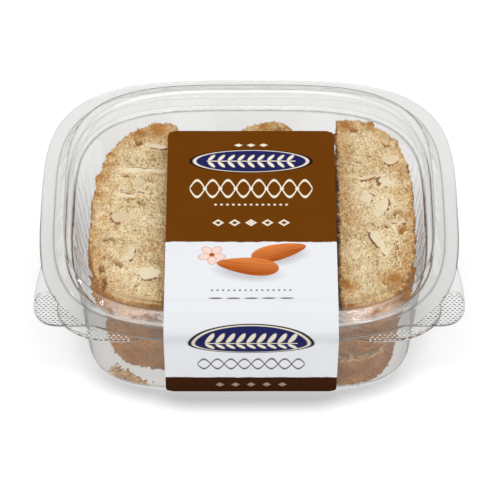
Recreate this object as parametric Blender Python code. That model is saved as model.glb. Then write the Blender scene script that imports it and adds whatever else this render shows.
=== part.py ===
"""Clear rounded tub with a shut clear lid, packed with almond biscotti slices, and a paper
label band stuck over the lid and down the front.

Metres, +Z up, front towards -Y. The origin is the middle of the underside of the whole.
The thermoformed sheets are lofted from rings that share one rounded-rectangle outline.
"""

import math

import bmesh
import bpy
from mathutils import Matrix, Vector, noise

MM = 0.001

# Rim of the tub: the flange's outer edge, measured from its middle.
RIM_HALF_X = 92.0 * MM
RIM_HALF_Y = 84.3 * MM
RIM_SQUARENESS = 3.5  # exponent of the superellipse: 2 is an ellipse, more is squarer
FOOT_SQUARENESS = 4.8
RING_POINTS = 80
CORNER_CROWDING = 0.12  # radians by which ring points crowd towards the corners

SHEET = 0.6 * MM  # wall of the thermoformed parts
FIT_GAP = 0.3 * MM  # air between parts that rest on each other

# Heights above the table.
FLANGE_TOP = 49.9 * MM
LEDGE_Z = 44.9 * MM  # step that the lid's seal sits above
LID_FLANGE_BOTTOM = FLANGE_TOP + FIT_GAP
LID_TOP = 57.5 * MM
LID_PANEL_DROP = 1.0 * MM  # the lid's middle lies this much below its ridge

# Distances in from the flange's outer edge.
SEAL_INSET = 10.8 * MM
LEDGE_INSET = 13.8 * MM
FOOT_INSET = 17.6 * MM
FOOT_NARROWING = 2.0 * MM  # further in at the left and right, whose walls slant more
FOOT_RADIUS = 5.5 * MM
FOOT_ARC = (0, 30, 60, 85)  # degrees round the foot's edge, from straight down
LID_WALL_FOOT_INSET = 6.2 * MM
LID_SHOULDER_INSET = 10.6 * MM
LID_RIDGE_WIDTH = 3.4 * MM
EDGE_ROUND = 0.25 * MM

# Finger tabs at the two front corners, as points of the right-hand one, (x, y) in mm.
LID_TAB = (
    (88.5, -26.0),
    (91.9, -48.0),
    (92.8, -60.0),
    (92.3, -68.0),
    (88.8, -73.5),
    (83.0, -75.8),
    (66.0, -75.4),
)
TUB_TAB = (
    (82.0, -58.0),
    (83.0, -66.0),
    (80.4, -74.0),
    (72.6, -80.8),
    (63.5, -84.1),
    (48.0, -84.2),
    (44.0, -80.0),
)

# Label band.
LABEL_WIDTH = 74.5 * MM
LABEL_OFF_CENTRE = 0.8 * MM
LABEL_THICKNESS = 0.3 * MM
LABEL_BACK_EDGE_Y = 42.3 * MM
LABEL_CORNER = 3.4 * MM
CORNER_STATIONS = (0.08, 0.3, 0.6, 1.0)  # shares of that radius where its curve has points
LABEL_FOOT_Z = 2.2 * MM
LABEL_BEND = 1.6 * MM
RIDGE_BOW = 2.0 * MM  # the lid's front ridge curves back this much under the label's sides
BEND_STEPS = 3

# Biscotti slices: a half-oval of loaf, flat on its base side, lying on a cut face.
SLICE_THICKNESS = 15.2 * MM
SLICE_GAP = 0.4 * MM
SLICE_POINTS = 36
SLICE_EDGE = 1.0 * MM  # break of the edge between cut face and crust
BASE_CORNER = 0.04  # share of the width by which the base side rounds off towards its ends
BASE_SQUARENESS = 0.35  # the base side's own ends: less is squarer
CRUST_UNEVEN = 0.9 * MM
CRUST_LUMP = 9 * MM
FACE_UNEVEN = 0.5 * MM
FACE_LUMP = 6 * MM
FLOOR_TOP = SHEET

# Each slice: name, layer, x of its base side, way its dome points, width, y of its middle,
# half length, exponents of its back and front ends, turn in degrees (lengths in mm).
SLICES = (
    ("biscotti_top_left", 2, -34.4, -1, 35.2, 0.4, 58.8, 2.4, 3.3, -2.0),
    ("biscotti_top_middle", 2, 20.0, -1, 33.0, 1.6, 58.6, 2.4, 2.8, 0.5),
    ("biscotti_top_right", 2, 39.4, 1, 33.4, 1.0, 60.0, 2.6, 3.3, 0.0),
    ("biscotti_middle_left", 1, -31.5, -1, 34.0, 1.2, 56.4, 2.6, 3.0, 1.0),
    ("biscotti_middle_middle", 1, 21.0, -1, 32.4, -1.0, 56.0, 2.7, 2.6, -1.0),
    ("biscotti_middle_right", 1, 36.0, 1, 32.0, -2.6, 56.6, 2.8, 3.2, 0.5),
    ("biscotti_bottom_left", 0, -30.0, -1, 33.8, 3.0, 55.0, 2.6, 3.6, -0.5),
    ("biscotti_bottom_middle", 0, 18.4, -1, 32.8, 0.6, 55.2, 2.5, 2.7, 0.8),
    ("biscotti_bottom_right", 0, 33.4, 1, 32.2, -4.8, 58.2, 2.8, 3.5, 0.0),
)

# Almond pieces that stand a little proud of the top slices' cut faces, in mm:
# slice, x, y, half length, half width, turn in degrees.
ALMONDS = (
    ("biscotti_top_left", -46.5, 25.5, 10.5, 2.0, -4.0),
    ("biscotti_top_left", -51.5, 10.5, 5.0, 2.4, -28.0),
    ("biscotti_top_left", -52.5, -26.5, 4.6, 2.4, 70.0),
    ("biscotti_top_left", -43.8, -41.5, 5.6, 3.6, 18.0),
    ("biscotti_top_right", 52.5, 22.0, 5.4, 1.9, 14.0),
    ("biscotti_top_right", 61.0, 19.0, 3.6, 2.6, -20.0),
    ("biscotti_top_right", 52.2, 8.2, 3.2, 3.0, 0.0),
    ("biscotti_top_right", 58.6, 3.4, 5.4, 2.8, 64.0),
    ("biscotti_top_right", 56.6, -22.6, 7.0, 2.3, -58.0),
)
ALMOND_PROUD = 0.5 * MM
ALMOND_HALF_THICKNESS = 1.8 * MM
ALMOND_TAPER = 0.35

# The label reaches past the flange in front, so the parts shift back by half of that.
LABEL_REACH = FIT_GAP + LABEL_THICKNESS
CENTRE_Y = LABEL_REACH / 2


def clear_scene():
    for existing in list(bpy.data.objects):
        bpy.data.objects.remove(existing, do_unlink=True)


def finish(name, color, roughness, alpha=1.0, transmission=0.0):
    material = bpy.data.materials.new(name)
    material.use_nodes = True
    shader = material.node_tree.nodes["Principled BSDF"]
    shader.inputs["Base Color"].default_value = (*color, 1.0)
    shader.inputs["Roughness"].default_value = roughness
    shader.inputs["Metallic"].default_value = 0.0
    shader.inputs["Alpha"].default_value = alpha
    shader.inputs["Transmission Weight"].default_value = transmission
    return material


def add_object(name, mesh_builder, material):
    """Turn a closed bmesh into a named object, its faces pointing out."""
    bmesh.ops.recalc_face_normals(mesh_builder, faces=mesh_builder.faces)
    mesh = bpy.data.meshes.new(name)
    mesh_builder.to_mesh(mesh)
    mesh_builder.free()
    mesh.materials.append(material)
    mesh.shade_smooth()
    mesh.set_sharp_from_angle(angle=math.radians(40))
    made = bpy.data.objects.new(name, mesh)
    made.location = (0.0, CENTRE_Y, 0.0)
    bpy.context.scene.collection.objects.link(made)
    return made


def ring_angles():
    """Directions from the middle, closer together at the four corners."""
    for index in range(RING_POINTS):
        even = math.tau * index / RING_POINTS
        yield even + CORNER_CROWDING * math.sin(4 * even)


def rim_radius(angle, inset, squareness, narrowing):
    across = abs(math.cos(angle)) / (RIM_HALF_X - inset - narrowing)
    along = abs(math.sin(angle)) / (RIM_HALF_Y - inset)
    return (across**squareness + along**squareness) ** (-1 / squareness)


def reach_to(tab, angle):
    """Distance from the middle to a tab's outline in one direction, or 0 past its ends."""
    direction = Vector((abs(math.cos(angle)), math.sin(angle)))
    for start, end in zip(tab, tab[1:]):
        first, last = Vector(start) * MM, Vector(end) * MM
        side = last - first
        turn = direction.cross(side)
        share = first.cross(direction) / turn if turn else -1.0
        distance = first.cross(side) / turn if turn else 0.0
        if 0 <= share <= 1 and distance > 0:
            return distance
    return 0.0


def ring(inset, height, squareness=RIM_SQUARENESS, narrowing=0.0, tab=None):
    """One closed loop of points at a height, pushed out to the finger tabs where given."""
    points = []
    for angle in ring_angles():
        radius = rim_radius(angle, inset, squareness, narrowing)
        if tab:
            radius = max(radius, reach_to(tab, angle) - inset)
        points.append((radius * math.cos(angle), radius * math.sin(angle), height))
    return points


def loft(rings):
    """Skin neighbouring rings with quads and close the first and last with flat faces."""
    shape = bmesh.new()
    loops = [[shape.verts.new(point) for point in points] for points in rings]
    for lower, upper in zip(loops, loops[1:]):
        for index in range(len(lower)):
            after = (index + 1) % len(lower)
            shape.faces.new((lower[index], lower[after], upper[after], upper[index]))
    shape.faces.new(reversed(loops[0]))
    shape.faces.new(loops[-1])
    return shape


def foot_rings(sheet_offset):
    """The rounded edge between the floor and the wall, from the floor upwards."""
    radius = FOOT_RADIUS - sheet_offset
    for degrees in FOOT_ARC:
        turn = math.radians(degrees)
        inset = FOOT_INSET + FOOT_RADIUS - radius * math.sin(turn)
        height = FOOT_RADIUS - radius * math.cos(turn)
        yield ring(inset, height, FOOT_SQUARENESS, FOOT_NARROWING)


def build_tub(material):
    """Floor, tapered wall, seal step and flange as one sheet, outside first, then inside."""
    flange_bottom = FLANGE_TOP - SHEET
    outside = list(foot_rings(0.0))
    outside.append(ring(LEDGE_INSET, LEDGE_Z - SHEET))
    outside.append(ring(SEAL_INSET + SHEET, LEDGE_Z))
    outside.append(ring(SEAL_INSET, flange_bottom - EDGE_ROUND))
    outside.append(ring(SEAL_INSET - EDGE_ROUND, flange_bottom))
    edge = [
        ring(EDGE_ROUND, flange_bottom, tab=TUB_TAB),
        ring(0.0, FLANGE_TOP - SHEET / 2, tab=TUB_TAB),
        ring(EDGE_ROUND, FLANGE_TOP, tab=TUB_TAB),
    ]
    inside = [
        ring(SEAL_INSET + SHEET - EDGE_ROUND, FLANGE_TOP),
        ring(SEAL_INSET + SHEET, FLANGE_TOP - EDGE_ROUND),
        ring(SEAL_INSET + 2 * SHEET, LEDGE_Z + SHEET),
        ring(LEDGE_INSET + SHEET, LEDGE_Z),
    ]
    inside += reversed(list(foot_rings(SHEET)))
    return add_object("tub", loft(outside + edge + inside), material)


def build_lid(material):
    """Flange with finger tabs, slanting wall, rounded ridge and a middle panel."""
    flange_top = LID_FLANGE_BOTTOM + SHEET
    panel_top = LID_TOP - LID_PANEL_DROP
    ridge_inner = LID_SHOULDER_INSET + LID_RIDGE_WIDTH
    panel_edge = ridge_inner + 2 * LID_PANEL_DROP
    soften = 3 * EDGE_ROUND
    top = [
        ring(panel_edge, panel_top),
        ring(ridge_inner, LID_TOP),
        ring(LID_SHOULDER_INSET + soften, LID_TOP),
        ring(LID_SHOULDER_INSET, LID_TOP - soften),
        ring(LID_WALL_FOOT_INSET, flange_top + EDGE_ROUND),
        ring(LID_WALL_FOOT_INSET - EDGE_ROUND, flange_top),
    ]
    edge = [
        ring(EDGE_ROUND, flange_top, tab=LID_TAB),
        ring(0.0, LID_FLANGE_BOTTOM + SHEET / 2, tab=LID_TAB),
        ring(EDGE_ROUND, LID_FLANGE_BOTTOM, tab=LID_TAB),
    ]
    under = [
        ring(LID_WALL_FOOT_INSET + SHEET, LID_FLANGE_BOTTOM),
        ring(LID_SHOULDER_INSET + SHEET, LID_TOP - soften - SHEET / 2),
        ring(LID_SHOULDER_INSET + SHEET + soften, LID_TOP - SHEET),
        ring(ridge_inner - SHEET / 2, LID_TOP - SHEET),
        ring(panel_edge - SHEET / 2, panel_top - SHEET),
    ]
    return add_object("lid", loft(top + edge + under), material)


def rounded_path(points, radius):
    """The points with each inner bend replaced by a short curve."""
    path = [points[0]]
    for before, corner, after in zip(points, points[1:], points[2:]):
        back = (before - corner).normalized() * radius
        forward = (after - corner).normalized() * radius
        for step in range(BEND_STEPS + 1):
            share = step / BEND_STEPS
            path.append(corner + back * (1 - share) ** 2 + forward * share**2)
    path.append(points[-1])
    return path


def label_path():
    """Side view (y, z) of the label's under face, from its back edge to its foot."""
    on_panel = LID_TOP - LID_PANEL_DROP + FIT_GAP
    on_ridge = LID_TOP + FIT_GAP
    ridge_front_y = LID_SHOULDER_INSET - RIM_HALF_Y
    ridge_back_y = ridge_front_y + LID_RIDGE_WIDTH + RIDGE_BOW
    panel_front_y = ridge_back_y + 4 * LID_PANEL_DROP
    edge_y = -RIM_HALF_Y - FIT_GAP
    foot_y = FOOT_INSET - RIM_HALF_Y - FIT_GAP
    corners = (
        Vector((LABEL_BACK_EDGE_Y, on_panel)),
        Vector((panel_front_y, on_panel)),
        Vector((ridge_back_y, on_ridge)),
        Vector((ridge_front_y - FIT_GAP, on_ridge)),
        Vector((edge_y, LID_FLANGE_BOTTOM + SHEET + FIT_GAP)),
        Vector((edge_y, FLANGE_TOP - SHEET)),
        Vector((foot_y, LABEL_FOOT_Z)),
    )
    return rounded_path(corners, LABEL_BEND / 2)


def corner_rows(path):
    """The path with extra stations at both ends, where the corners are rounded."""
    rows = list(path)
    for end, inward in ((0, 1), (-1, -2)):
        tip, towards = path[end], (path[inward] - path[end]).normalized()
        extra = [tip + towards * LABEL_CORNER * share for share in CORNER_STATIONS]
        rows = [tip, *extra, *rows[1:]] if end == 0 else [*rows[:-1], *reversed(extra), tip]
    return rows


def label_half_width(distance_to_end):
    inside = max(0.0, LABEL_CORNER - distance_to_end)
    return LABEL_WIDTH / 2 - LABEL_CORNER + math.sqrt(LABEL_CORNER**2 - inside**2)


def build_label(material):
    rows = corner_rows(label_path())
    shape = bmesh.new()
    loops = []
    for index, row in enumerate(rows):
        before, after = rows[max(index - 1, 0)], rows[min(index + 1, len(rows) - 1)]
        along = (after - before).normalized()
        outward = Vector((along.y, -along.x)) * LABEL_THICKNESS
        half = label_half_width(min((row - rows[0]).length, (row - rows[-1]).length))
        left, right = LABEL_OFF_CENTRE - half, LABEL_OFF_CENTRE + half
        outer = row + outward
        places = ((left, *row), (right, *row), (right, *outer), (left, *outer))
        loops.append([shape.verts.new(place) for place in places])
    for near, far in zip(loops, loops[1:]):
        for index in range(4):
            after = (index + 1) % 4
            shape.faces.new((near[index], near[after], far[after], far[index]))
    shape.faces.new(loops[0])
    shape.faces.new(loops[-1])
    return add_object("label", shape, material)


def uneven(place, size, coarseness):
    """A repeatable bump between -size and size, whose lumps are about coarseness across."""
    return size * noise.noise(Vector(place) / coarseness)


def slice_outline(base_x, dome, width, middle_y, half_length, powers, degrees):
    """Plan of one slice: straight base side, domed other side with its own two ends."""
    turn = Matrix.Rotation(math.radians(degrees), 2)
    hub = Vector((base_x + dome * width / 2, middle_y))
    points = []
    for index in range(SLICE_POINTS):
        angle = math.tau * index / SLICE_POINTS
        power = powers[0] if math.sin(angle) > 0 else powers[1]
        bulge = max(math.cos(angle), 0.0) ** (2 / power)
        base = BASE_CORNER * math.sqrt(max(-math.cos(angle), 0.0))
        end_power = 2 / power if math.cos(angle) > 0 else BASE_SQUARENESS
        reach = abs(math.sin(angle)) ** end_power
        x = base_x + dome * width * (BASE_CORNER - base + (1 - BASE_CORNER) * bulge)
        y = middle_y + math.copysign(half_length * reach, math.sin(angle))
        points.append(hub + turn @ (Vector((x, y)) - hub))
    return points


def build_slice(layer, outline, material, name):
    """Loft the outline through the slice's thickness, its edges broken and its crust lumpy."""
    bottom = FLOOR_TOP + SLICE_GAP + layer * (SLICE_THICKNESS + SLICE_GAP)
    top = bottom + SLICE_THICKNESS
    middle = sum(outline, Vector((0.0, 0.0))) / len(outline)
    levels = (
        (bottom, 3 * SLICE_EDGE),
        (bottom, SLICE_EDGE),
        (bottom + SLICE_EDGE, 0.0),
        (bottom + SLICE_THICKNESS / 2, 0.0),
        (top - SLICE_EDGE, 0.0),
        (top, SLICE_EDGE),
        (top, 4 * SLICE_EDGE),
        (top, 8 * SLICE_EDGE),
    )
    rings = []
    for height, inset in levels:
        points = []
        for point in outline:
            away = (point - middle).normalized()
            lump = uneven((*point, height), CRUST_UNEVEN, CRUST_LUMP)
            place = point - away * (inset + CRUST_UNEVEN - lump)
            sink = (FACE_UNEVEN + uneven((*place, height), FACE_UNEVEN, FACE_LUMP)) / 2
            if height == bottom:
                points.append((*place, height + sink))
            elif height == top:
                points.append((*place, height - sink))
            else:
                points.append((*place, height))
        rings.append(points)
    return add_object(name, loft(rings), material)


def almond_piece(x, y, half_length, half_width, degrees):
    """A flattened almond piece, as a helper object on the top slices' cut face."""
    shape = bmesh.new()
    bmesh.ops.create_icosphere(shape, subdivisions=2, radius=1.0)
    turn = math.radians(degrees)
    face = FLOOR_TOP + 3 * (SLICE_THICKNESS + SLICE_GAP)
    height = face + ALMOND_PROUD - ALMOND_HALF_THICKNESS
    for vertex in shape.verts:
        taper = 1 - ALMOND_TAPER * vertex.co.x
        along = vertex.co.x * half_length
        across = vertex.co.y * half_width * taper
        vertex.co = (
            x + along * math.cos(turn) - across * math.sin(turn),
            y + along * math.sin(turn) + across * math.cos(turn),
            height + vertex.co.z * ALMOND_HALF_THICKNESS,
        )
    return shape


def fuse_almonds(slices, material):
    """Union every almond piece with the slice it is baked into."""
    for slice_name, solid in slices.items():
        pieces = [entry[1:] for entry in ALMONDS if entry[0] == slice_name]
        if not pieces:
            continue
        helpers = bpy.data.collections.new(slice_name + "_almonds")
        for number, (x, y, half_length, half_width, degrees) in enumerate(pieces):
            sizes = (x * MM, y * MM, half_length * MM, half_width * MM, degrees)
            helper = add_object(f"{slice_name}_almond_{number}", almond_piece(*sizes), material)
            bpy.context.scene.collection.objects.unlink(helper)
            helpers.objects.link(helper)
        bpy.context.scene.collection.children.link(helpers)
        union = solid.modifiers.new("almonds", "BOOLEAN")
        union.operation = "UNION"
        union.operand_type = "COLLECTION"
        union.collection = helpers
        bpy.context.view_layer.objects.active = solid
        bpy.ops.object.modifier_apply(modifier=union.name)
        for helper in list(helpers.objects):
            bpy.data.objects.remove(helper, do_unlink=True)
        bpy.data.collections.remove(helpers)


def build_slices(crumb, almond):
    slices = {}
    for name, layer, base_x, dome, width, middle_y, half_length, back, front, degrees in SLICES:
        place = (base_x * MM, dome, width * MM, middle_y * MM, half_length * MM)
        outline = slice_outline(*place, (back, front), degrees)
        slices[name] = build_slice(layer, outline, crumb, name)
    fuse_almonds(slices, almond)


def main():
    clear_scene()
    clear_plastic = finish("clear PET sheet", (0.93, 0.95, 0.95), 0.08, 0.35, 0.9)
    paper = finish("coated paper label", (0.84, 0.84, 0.85), 0.45)
    crumb = finish("baked biscotti", (0.76, 0.53, 0.27), 0.85)
    almond = finish("baked almond", (0.78, 0.66, 0.45), 0.6)
    build_tub(clear_plastic)
    build_lid(clear_plastic)
    build_label(paper)
    build_slices(crumb, almond)


main()
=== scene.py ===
"""Clear rounded deli tub with a shut clear lid, packed with almond biscotti slices, and a
paper label band stuck over the lid and down the front.

Metres, +Z up, front towards -Y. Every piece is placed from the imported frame's own boxes.
"""

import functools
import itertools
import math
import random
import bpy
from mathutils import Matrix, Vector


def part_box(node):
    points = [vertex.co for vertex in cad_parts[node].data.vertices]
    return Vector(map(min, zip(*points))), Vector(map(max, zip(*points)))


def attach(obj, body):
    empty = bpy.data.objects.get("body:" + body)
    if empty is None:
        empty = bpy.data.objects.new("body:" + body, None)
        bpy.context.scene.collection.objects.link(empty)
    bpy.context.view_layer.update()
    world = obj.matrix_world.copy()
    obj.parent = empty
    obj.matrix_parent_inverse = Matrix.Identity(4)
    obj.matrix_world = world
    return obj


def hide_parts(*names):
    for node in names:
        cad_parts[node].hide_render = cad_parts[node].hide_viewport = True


bl_info = {
    "name": "Tub of almond biscotti", "version": (1, 0, 0), "blender": (4, 5, 0),
    "location": "3D Viewport > Sidebar > Biscotti tub",
    "description": "Models a clear tub of almond biscotti slices with its lid and paper label",
    "category": "Add Mesh",
}

import bmesh
import bpy
import numpy as np
from mathutils import Vector, kdtree, noise

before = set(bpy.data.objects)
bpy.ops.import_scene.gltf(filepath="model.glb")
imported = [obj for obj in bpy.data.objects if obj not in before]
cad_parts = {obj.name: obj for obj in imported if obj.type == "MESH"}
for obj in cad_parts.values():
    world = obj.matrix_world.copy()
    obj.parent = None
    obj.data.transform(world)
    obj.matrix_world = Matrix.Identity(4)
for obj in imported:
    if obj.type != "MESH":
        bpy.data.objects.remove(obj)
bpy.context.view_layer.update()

MM = 0.001
ROOT = "root"

# Heights and reach of the thermoformed parts, as the solids have them.
TUB_LOW, TUB_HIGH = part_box("tub")
LID_LOW, LID_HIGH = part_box("lid")
LABEL_LOW, LABEL_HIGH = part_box("label")
RIM_HALF_X = TUB_HIGH.x
RIM_HALF_Y = (TUB_HIGH.y - TUB_LOW.y) / 2
CENTRE_Y = (TUB_HIGH.y + TUB_LOW.y) / 2
FLANGE_TOP = TUB_HIGH.z
LID_FLANGE_BOTTOM = LID_LOW.z
LID_TOP = LID_HIGH.z
RIM_SQUARENESS = 3.5  # exponent of the superellipse
FOOT_SQUARENESS = 4.8
SHEET = 0.6 * MM  # of the solids; the real sheet is thinner
LEDGE_Z = 44.9 * MM
LID_PANEL_DROP = 1.0 * MM
SEAL_INSET = 10.8 * MM
LEDGE_INSET = 13.8 * MM
FOOT_INSET = 17.6 * MM
FOOT_NARROWING = 2.0 * MM
FOOT_RADIUS = 5.5 * MM
LID_WALL_FOOT_INSET = 6.2 * MM
LID_SHOULDER_INSET = 10.6 * MM
LID_RIDGE_WIDTH = 3.4 * MM
TUB_BEND = 0.8 * MM  # radius of the sheet's inner bends
LID_BEND = 1.0 * MM
# Painted shade: near its bends the sheet's tint greys, drawing the dark lines that bends show.
BEND_WIDTH = 0.7 * MM  # how far from a bend the sheet still greys
CUT_BEVEL = 0.08 * MM  # of the sheet's die-cut edge
RING_SPACING = 1.6 * MM  # longest step between two rings of a wall

# Upright flutes in the tub's side walls: between these heights, from front to back.
FLUTE_LOW, FLUTE_HIGH = 6 * MM, 40 * MM
FLUTE_FRONT, FLUTE_BACK = -46 * MM, 50 * MM

# Finger tabs, as points of the right-hand one in mm, before the parts shift to CENTRE_Y.
LID_TAB = (
    (88.5, -26.0), (91.9, -48.0), (92.8, -60.0), (92.3, -68.0), (88.8, -73.5), (83.0, -75.8),
    (66.0, -75.4),
)
TUB_TAB = (
    (82.0, -58.0), (83.0, -66.0), (80.4, -74.0), (72.6, -80.8), (63.5, -84.1), (48.0, -84.2),
    (44.0, -80.0),
)
# Knurled areas of the right-hand tabs, in mm, as the part has them.
LID_GRIP = (
    (84.6, -56.6), (88.0, -55.4), (90.9, -56.8), (92.2, -63.8), (91.9, -66.9), (90.6, -70.4),
    (86.6, -73.9), (82.5, -75.0), (70.4, -74.6), (73.5, -71.6), (76.9, -68.2), (80.5, -63.4),
)
LID_BEAD = ((83.4, -58.2), (85.0, -55.6), (88.2, -54.2), (91.0, -55.4), (91.9, -60.0))
TUB_GRIP = (
    (80.3, -73.4), (76.6, -77.2), (72.8, -79.9), (67.7, -82.2), (63.0, -83.2), (49.0, -83.3),
    (52.0, -81.2), (60.0, -79.2), (67.0, -77.0), (73.5, -75.6),
)
# Knurl studs stand on a staggered grid that covers both grips, with these steps in mm.
STUD_PITCH_X, STUD_PITCH_Y = 2.1, 1.2
STUD_COLUMNS, STUD_ROWS = range(15, 45), range(-74, -40)
STUD_TURN = math.radians(-6)
STUD_SINK = 0.08 * MM  # into the flange
BEAD_RADIUS = 0.28 * MM

RING_POINTS = 560
CORNER_CROWDING = 0.12  # draws the points together at the corners
EVEN = -math.pi + math.tau * (np.arange(RING_POINTS) + 0.5) / RING_POINTS
ANGLES = EVEN + CORNER_CROWDING * np.sin(4 * EVEN)

# Slices: name, layer, x of base side, way the dome points, width, y of middle, half length,
# exponents of the back and front ends, turn in degrees (mm).
SLICES = (
    ("biscotti_top_left", 2, -34.4, -1, 35.2, 0.4, 58.8, 2.4, 3.3, -2.0),
    ("biscotti_top_middle", 2, 20.0, -1, 33.0, 1.6, 58.6, 2.4, 2.8, 0.5),
    ("biscotti_top_right", 2, 39.4, 1, 33.4, 1.0, 60.0, 2.6, 3.3, 0.0),
    ("biscotti_middle_left", 1, -31.5, -1, 34.0, 1.2, 56.4, 2.6, 3.0, 1.0),
    ("biscotti_middle_middle", 1, 21.0, -1, 32.4, -1.0, 56.0, 2.7, 2.6, -1.0),
    ("biscotti_middle_right", 1, 36.0, 1, 32.0, -2.6, 56.6, 2.8, 3.2, 0.5),
    ("biscotti_bottom_left", 0, -30.0, -1, 33.8, 3.0, 55.0, 2.6, 3.6, -0.5),
    ("biscotti_bottom_middle", 0, 18.4, -1, 32.8, 0.6, 55.2, 2.5, 2.7, 0.8),
    ("biscotti_bottom_right", 0, 33.4, 1, 32.2, -4.8, 58.2, 2.8, 3.5, 0.0),
)
SLICE_THICKNESS = 15.2 * MM
SLICE_GAP = 0.4 * MM
SLICE_FLOOR = 0.6 * MM
TOP_FACE = SLICE_FLOOR + 3 * (SLICE_THICKNESS + SLICE_GAP)
SLICE_POINTS = 160  # round its outline
SLICE_SHRINK = 0.45 * MM  # room that the crust's lumps take up again
SLICE_BEVEL = 1.0 * MM
CUT_LAYER = 1.6 * MM  # below the cut face, where a fine slice's mesh is divided again
CHIP_DEPTH = 1.15 * MM  # of an almond chip's middle below the cut face

# Painted shade on the right slices: by how much their crust is drawn darker brown, as the tub's right
# front lies darker.
RIGHT_SLICES_PAINTED_SHADE = {
    "biscotti_middle_right": 0.35,
    "biscotti_bottom_right": 0.6,
}

# Almond chips baked into each top slice's cut face, in mm and degrees: x, y, half length,
# half width, turn, outline power, way the dark skin shows, tone 0 to 1.
CHIPS = {
    "biscotti_top_left": (
        (-41.4, 42.7, 4.6, 1.9, -12, 2.2, -80, 0.2),
        (-47.0, 26.9, 10.2, 1.9, -3, 2.4, 92, 0.1),
        (-48.8, 19.6, 3.4, 2.5, -20, 2.6, 0, 0.75),
        (-48.4, 13.4, 3.4, 1.3, -24, 2.0, -60, 0.5),
        (-54.4, 10.6, 4.4, 1.5, -16, 2.4, 100, 0.15),
        (-51.8, -26.4, 5.6, 2.2, 76, 3.0, -20, 0.45),
        (-43.2, -39.4, 5.6, 4.4, 10, 2.3, -110, 0.0),
        (-57.4, -3.4, 4.6, 4.0, 20, 2.2, -150, 0.9),
    ),
    "biscotti_top_right": (
        (53.0, 22.0, 4.4, 1.5, 20, 2.0, -70, 0.35),
        (60.8, 19.6, 4.3, 3.0, -30, 2.3, 160, 0.3),
        (52.4, 8.8, 3.6, 3.6, 0, 2.2, 5, 0.25),
        (58.6, 2.8, 7.0, 3.6, 66, 1.7, -15, 0.35),
        (65.4, -7.0, 4.6, 1.2, -4, 1.8, -90, 0.7),
        (57.0, -20.4, 8.8, 2.3, -66, 2.6, 200, 0.2),
        (63.8, 33.6, 4.2, 3.4, 30, 2.2, -90, 0.6),
    ),
    "biscotti_top_middle": (
        (11.0, 40.0, 6.0, 2.4, 15, 2.2, 80, 0.2),
        (4.0, 8.0, 8.0, 2.2, -50, 2.4, 40, 0.3),
        (12.0, -20.0, 5.4, 3.4, 5, 2.2, -90, 0.1),
    ),
}

# Hollows in each top slice's cut face, in mm and degrees: x, y, half length, half width, turn, depth, how
# far the inside darkens to crust colour.
HOLLOWS = {
    "biscotti_top_left": (
        (-49.4, 45.8, 1.5, 1.4, 0, 2.2, 1.0),
        (-54.8, 24.0, 2.0, 1.0, -20, 1.4, 0.5),
        (-61.6, -17.6, 4.6, 1.5, -8, 1.8, 0.35),
        (-58.0, -32.0, 4.2, 1.5, -38, 2.6, 0.45),
        (-64.2, -36.0, 3.6, 1.2, -70, 2.2, 0.6),
        (-63.0, -44.5, 5.6, 1.3, -84, 3.0, 0.75),
        (-47.6, 5.0, 3.6, 0.9, -32, 1.3, 0.3),
        (-53.4, 8.3, 4.2, 0.8, -10, 1.1, 0.45),
        (-44.2, 20.6, 1.8, 1.2, 0, 1.3, 0.2),
        (-48.4, -46.2, 1.8, 1.3, 0, 1.2, 0.3),
        (-43.8, -2.0, 1.6, 0.8, 40, 0.9, 0.1),
        (-49.6, -12.0, 1.5, 0.8, 0, 0.8, 0.1),
        (-58.6, -9.0, 1.2, 0.8, 90, 1.0, 0.3),
    ),
    "biscotti_top_right": (
        (47.0, 54.6, 2.8, 1.5, -35, 2.0, 0.9),
        (48.9, 32.2, 1.5, 0.9, -10, 1.0, 1.0),
        (57.6, 18.2, 1.6, 1.0, -40, 1.3, 0.9),
        (52.6, 20.1, 4.4, 0.7, 18, 1.1, 0.8),
        (58.8, -9.6, 3.4, 1.0, 8, 1.5, 0.7),
        (67.6, -11.0, 2.6, 3.0, 0, 1.6, 0.8),
        (54.6, -20.0, 8.0, 0.8, -66, 1.1, 0.7),
        (64.6, -1.0, 1.6, 1.0, 60, 1.3, 0.5),
        (64.8, -23.0, 1.4, 0.9, 80, 1.2, 0.5),
        (61.4, 44.2, 3.2, 1.0, -30, 1.0, 0.6),
        (45.6, 44.0, 1.4, 0.8, 20, 0.9, 0.2),
        (68.0, 46.0, 2.6, 1.1, -50, 1.4, 0.8),
    ),
    "biscotti_top_middle": (
        (12.4, 55.2, 3.6, 1.4, 0, 1.6, 0.9),
        (5.0, -8.0, 3.0, 1.0, 20, 1.4, 0.4),
    ),
}

# Baked knobs that stand out of each top slice's crust, in mm: x, y, radius, how far out.
KNOBS = {
    "biscotti_top_left": (
        (-41.2, 54.2, 4.8, 1.4),
        (-49.6, 51.4, 3.2, 1.0),
        (-62.8, 37.2, 2.0, 1.0),
        (-66.6, 22.0, 2.4, 0.8),
        (-67.4, 10.0, 2.0, 0.7),
    ),
    "biscotti_top_right": (
        (63.2, -43.2, 4.2, 1.5),
        (41.4, -46.0, 3.4, 0.8),
        (43.4, 57.0, 3.6, 0.7),
        (55.4, 57.4, 2.4, 0.9),
        (70.6, 38.0, 2.8, 0.7),
        (43.0, -47.6, 3.0, 0.6),
    ),
    "biscotti_top_middle": (
        (6.4, 56.0, 3.0, 0.8),
        (18.0, 56.0, 2.6, 0.8),
    ),
}

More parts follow.
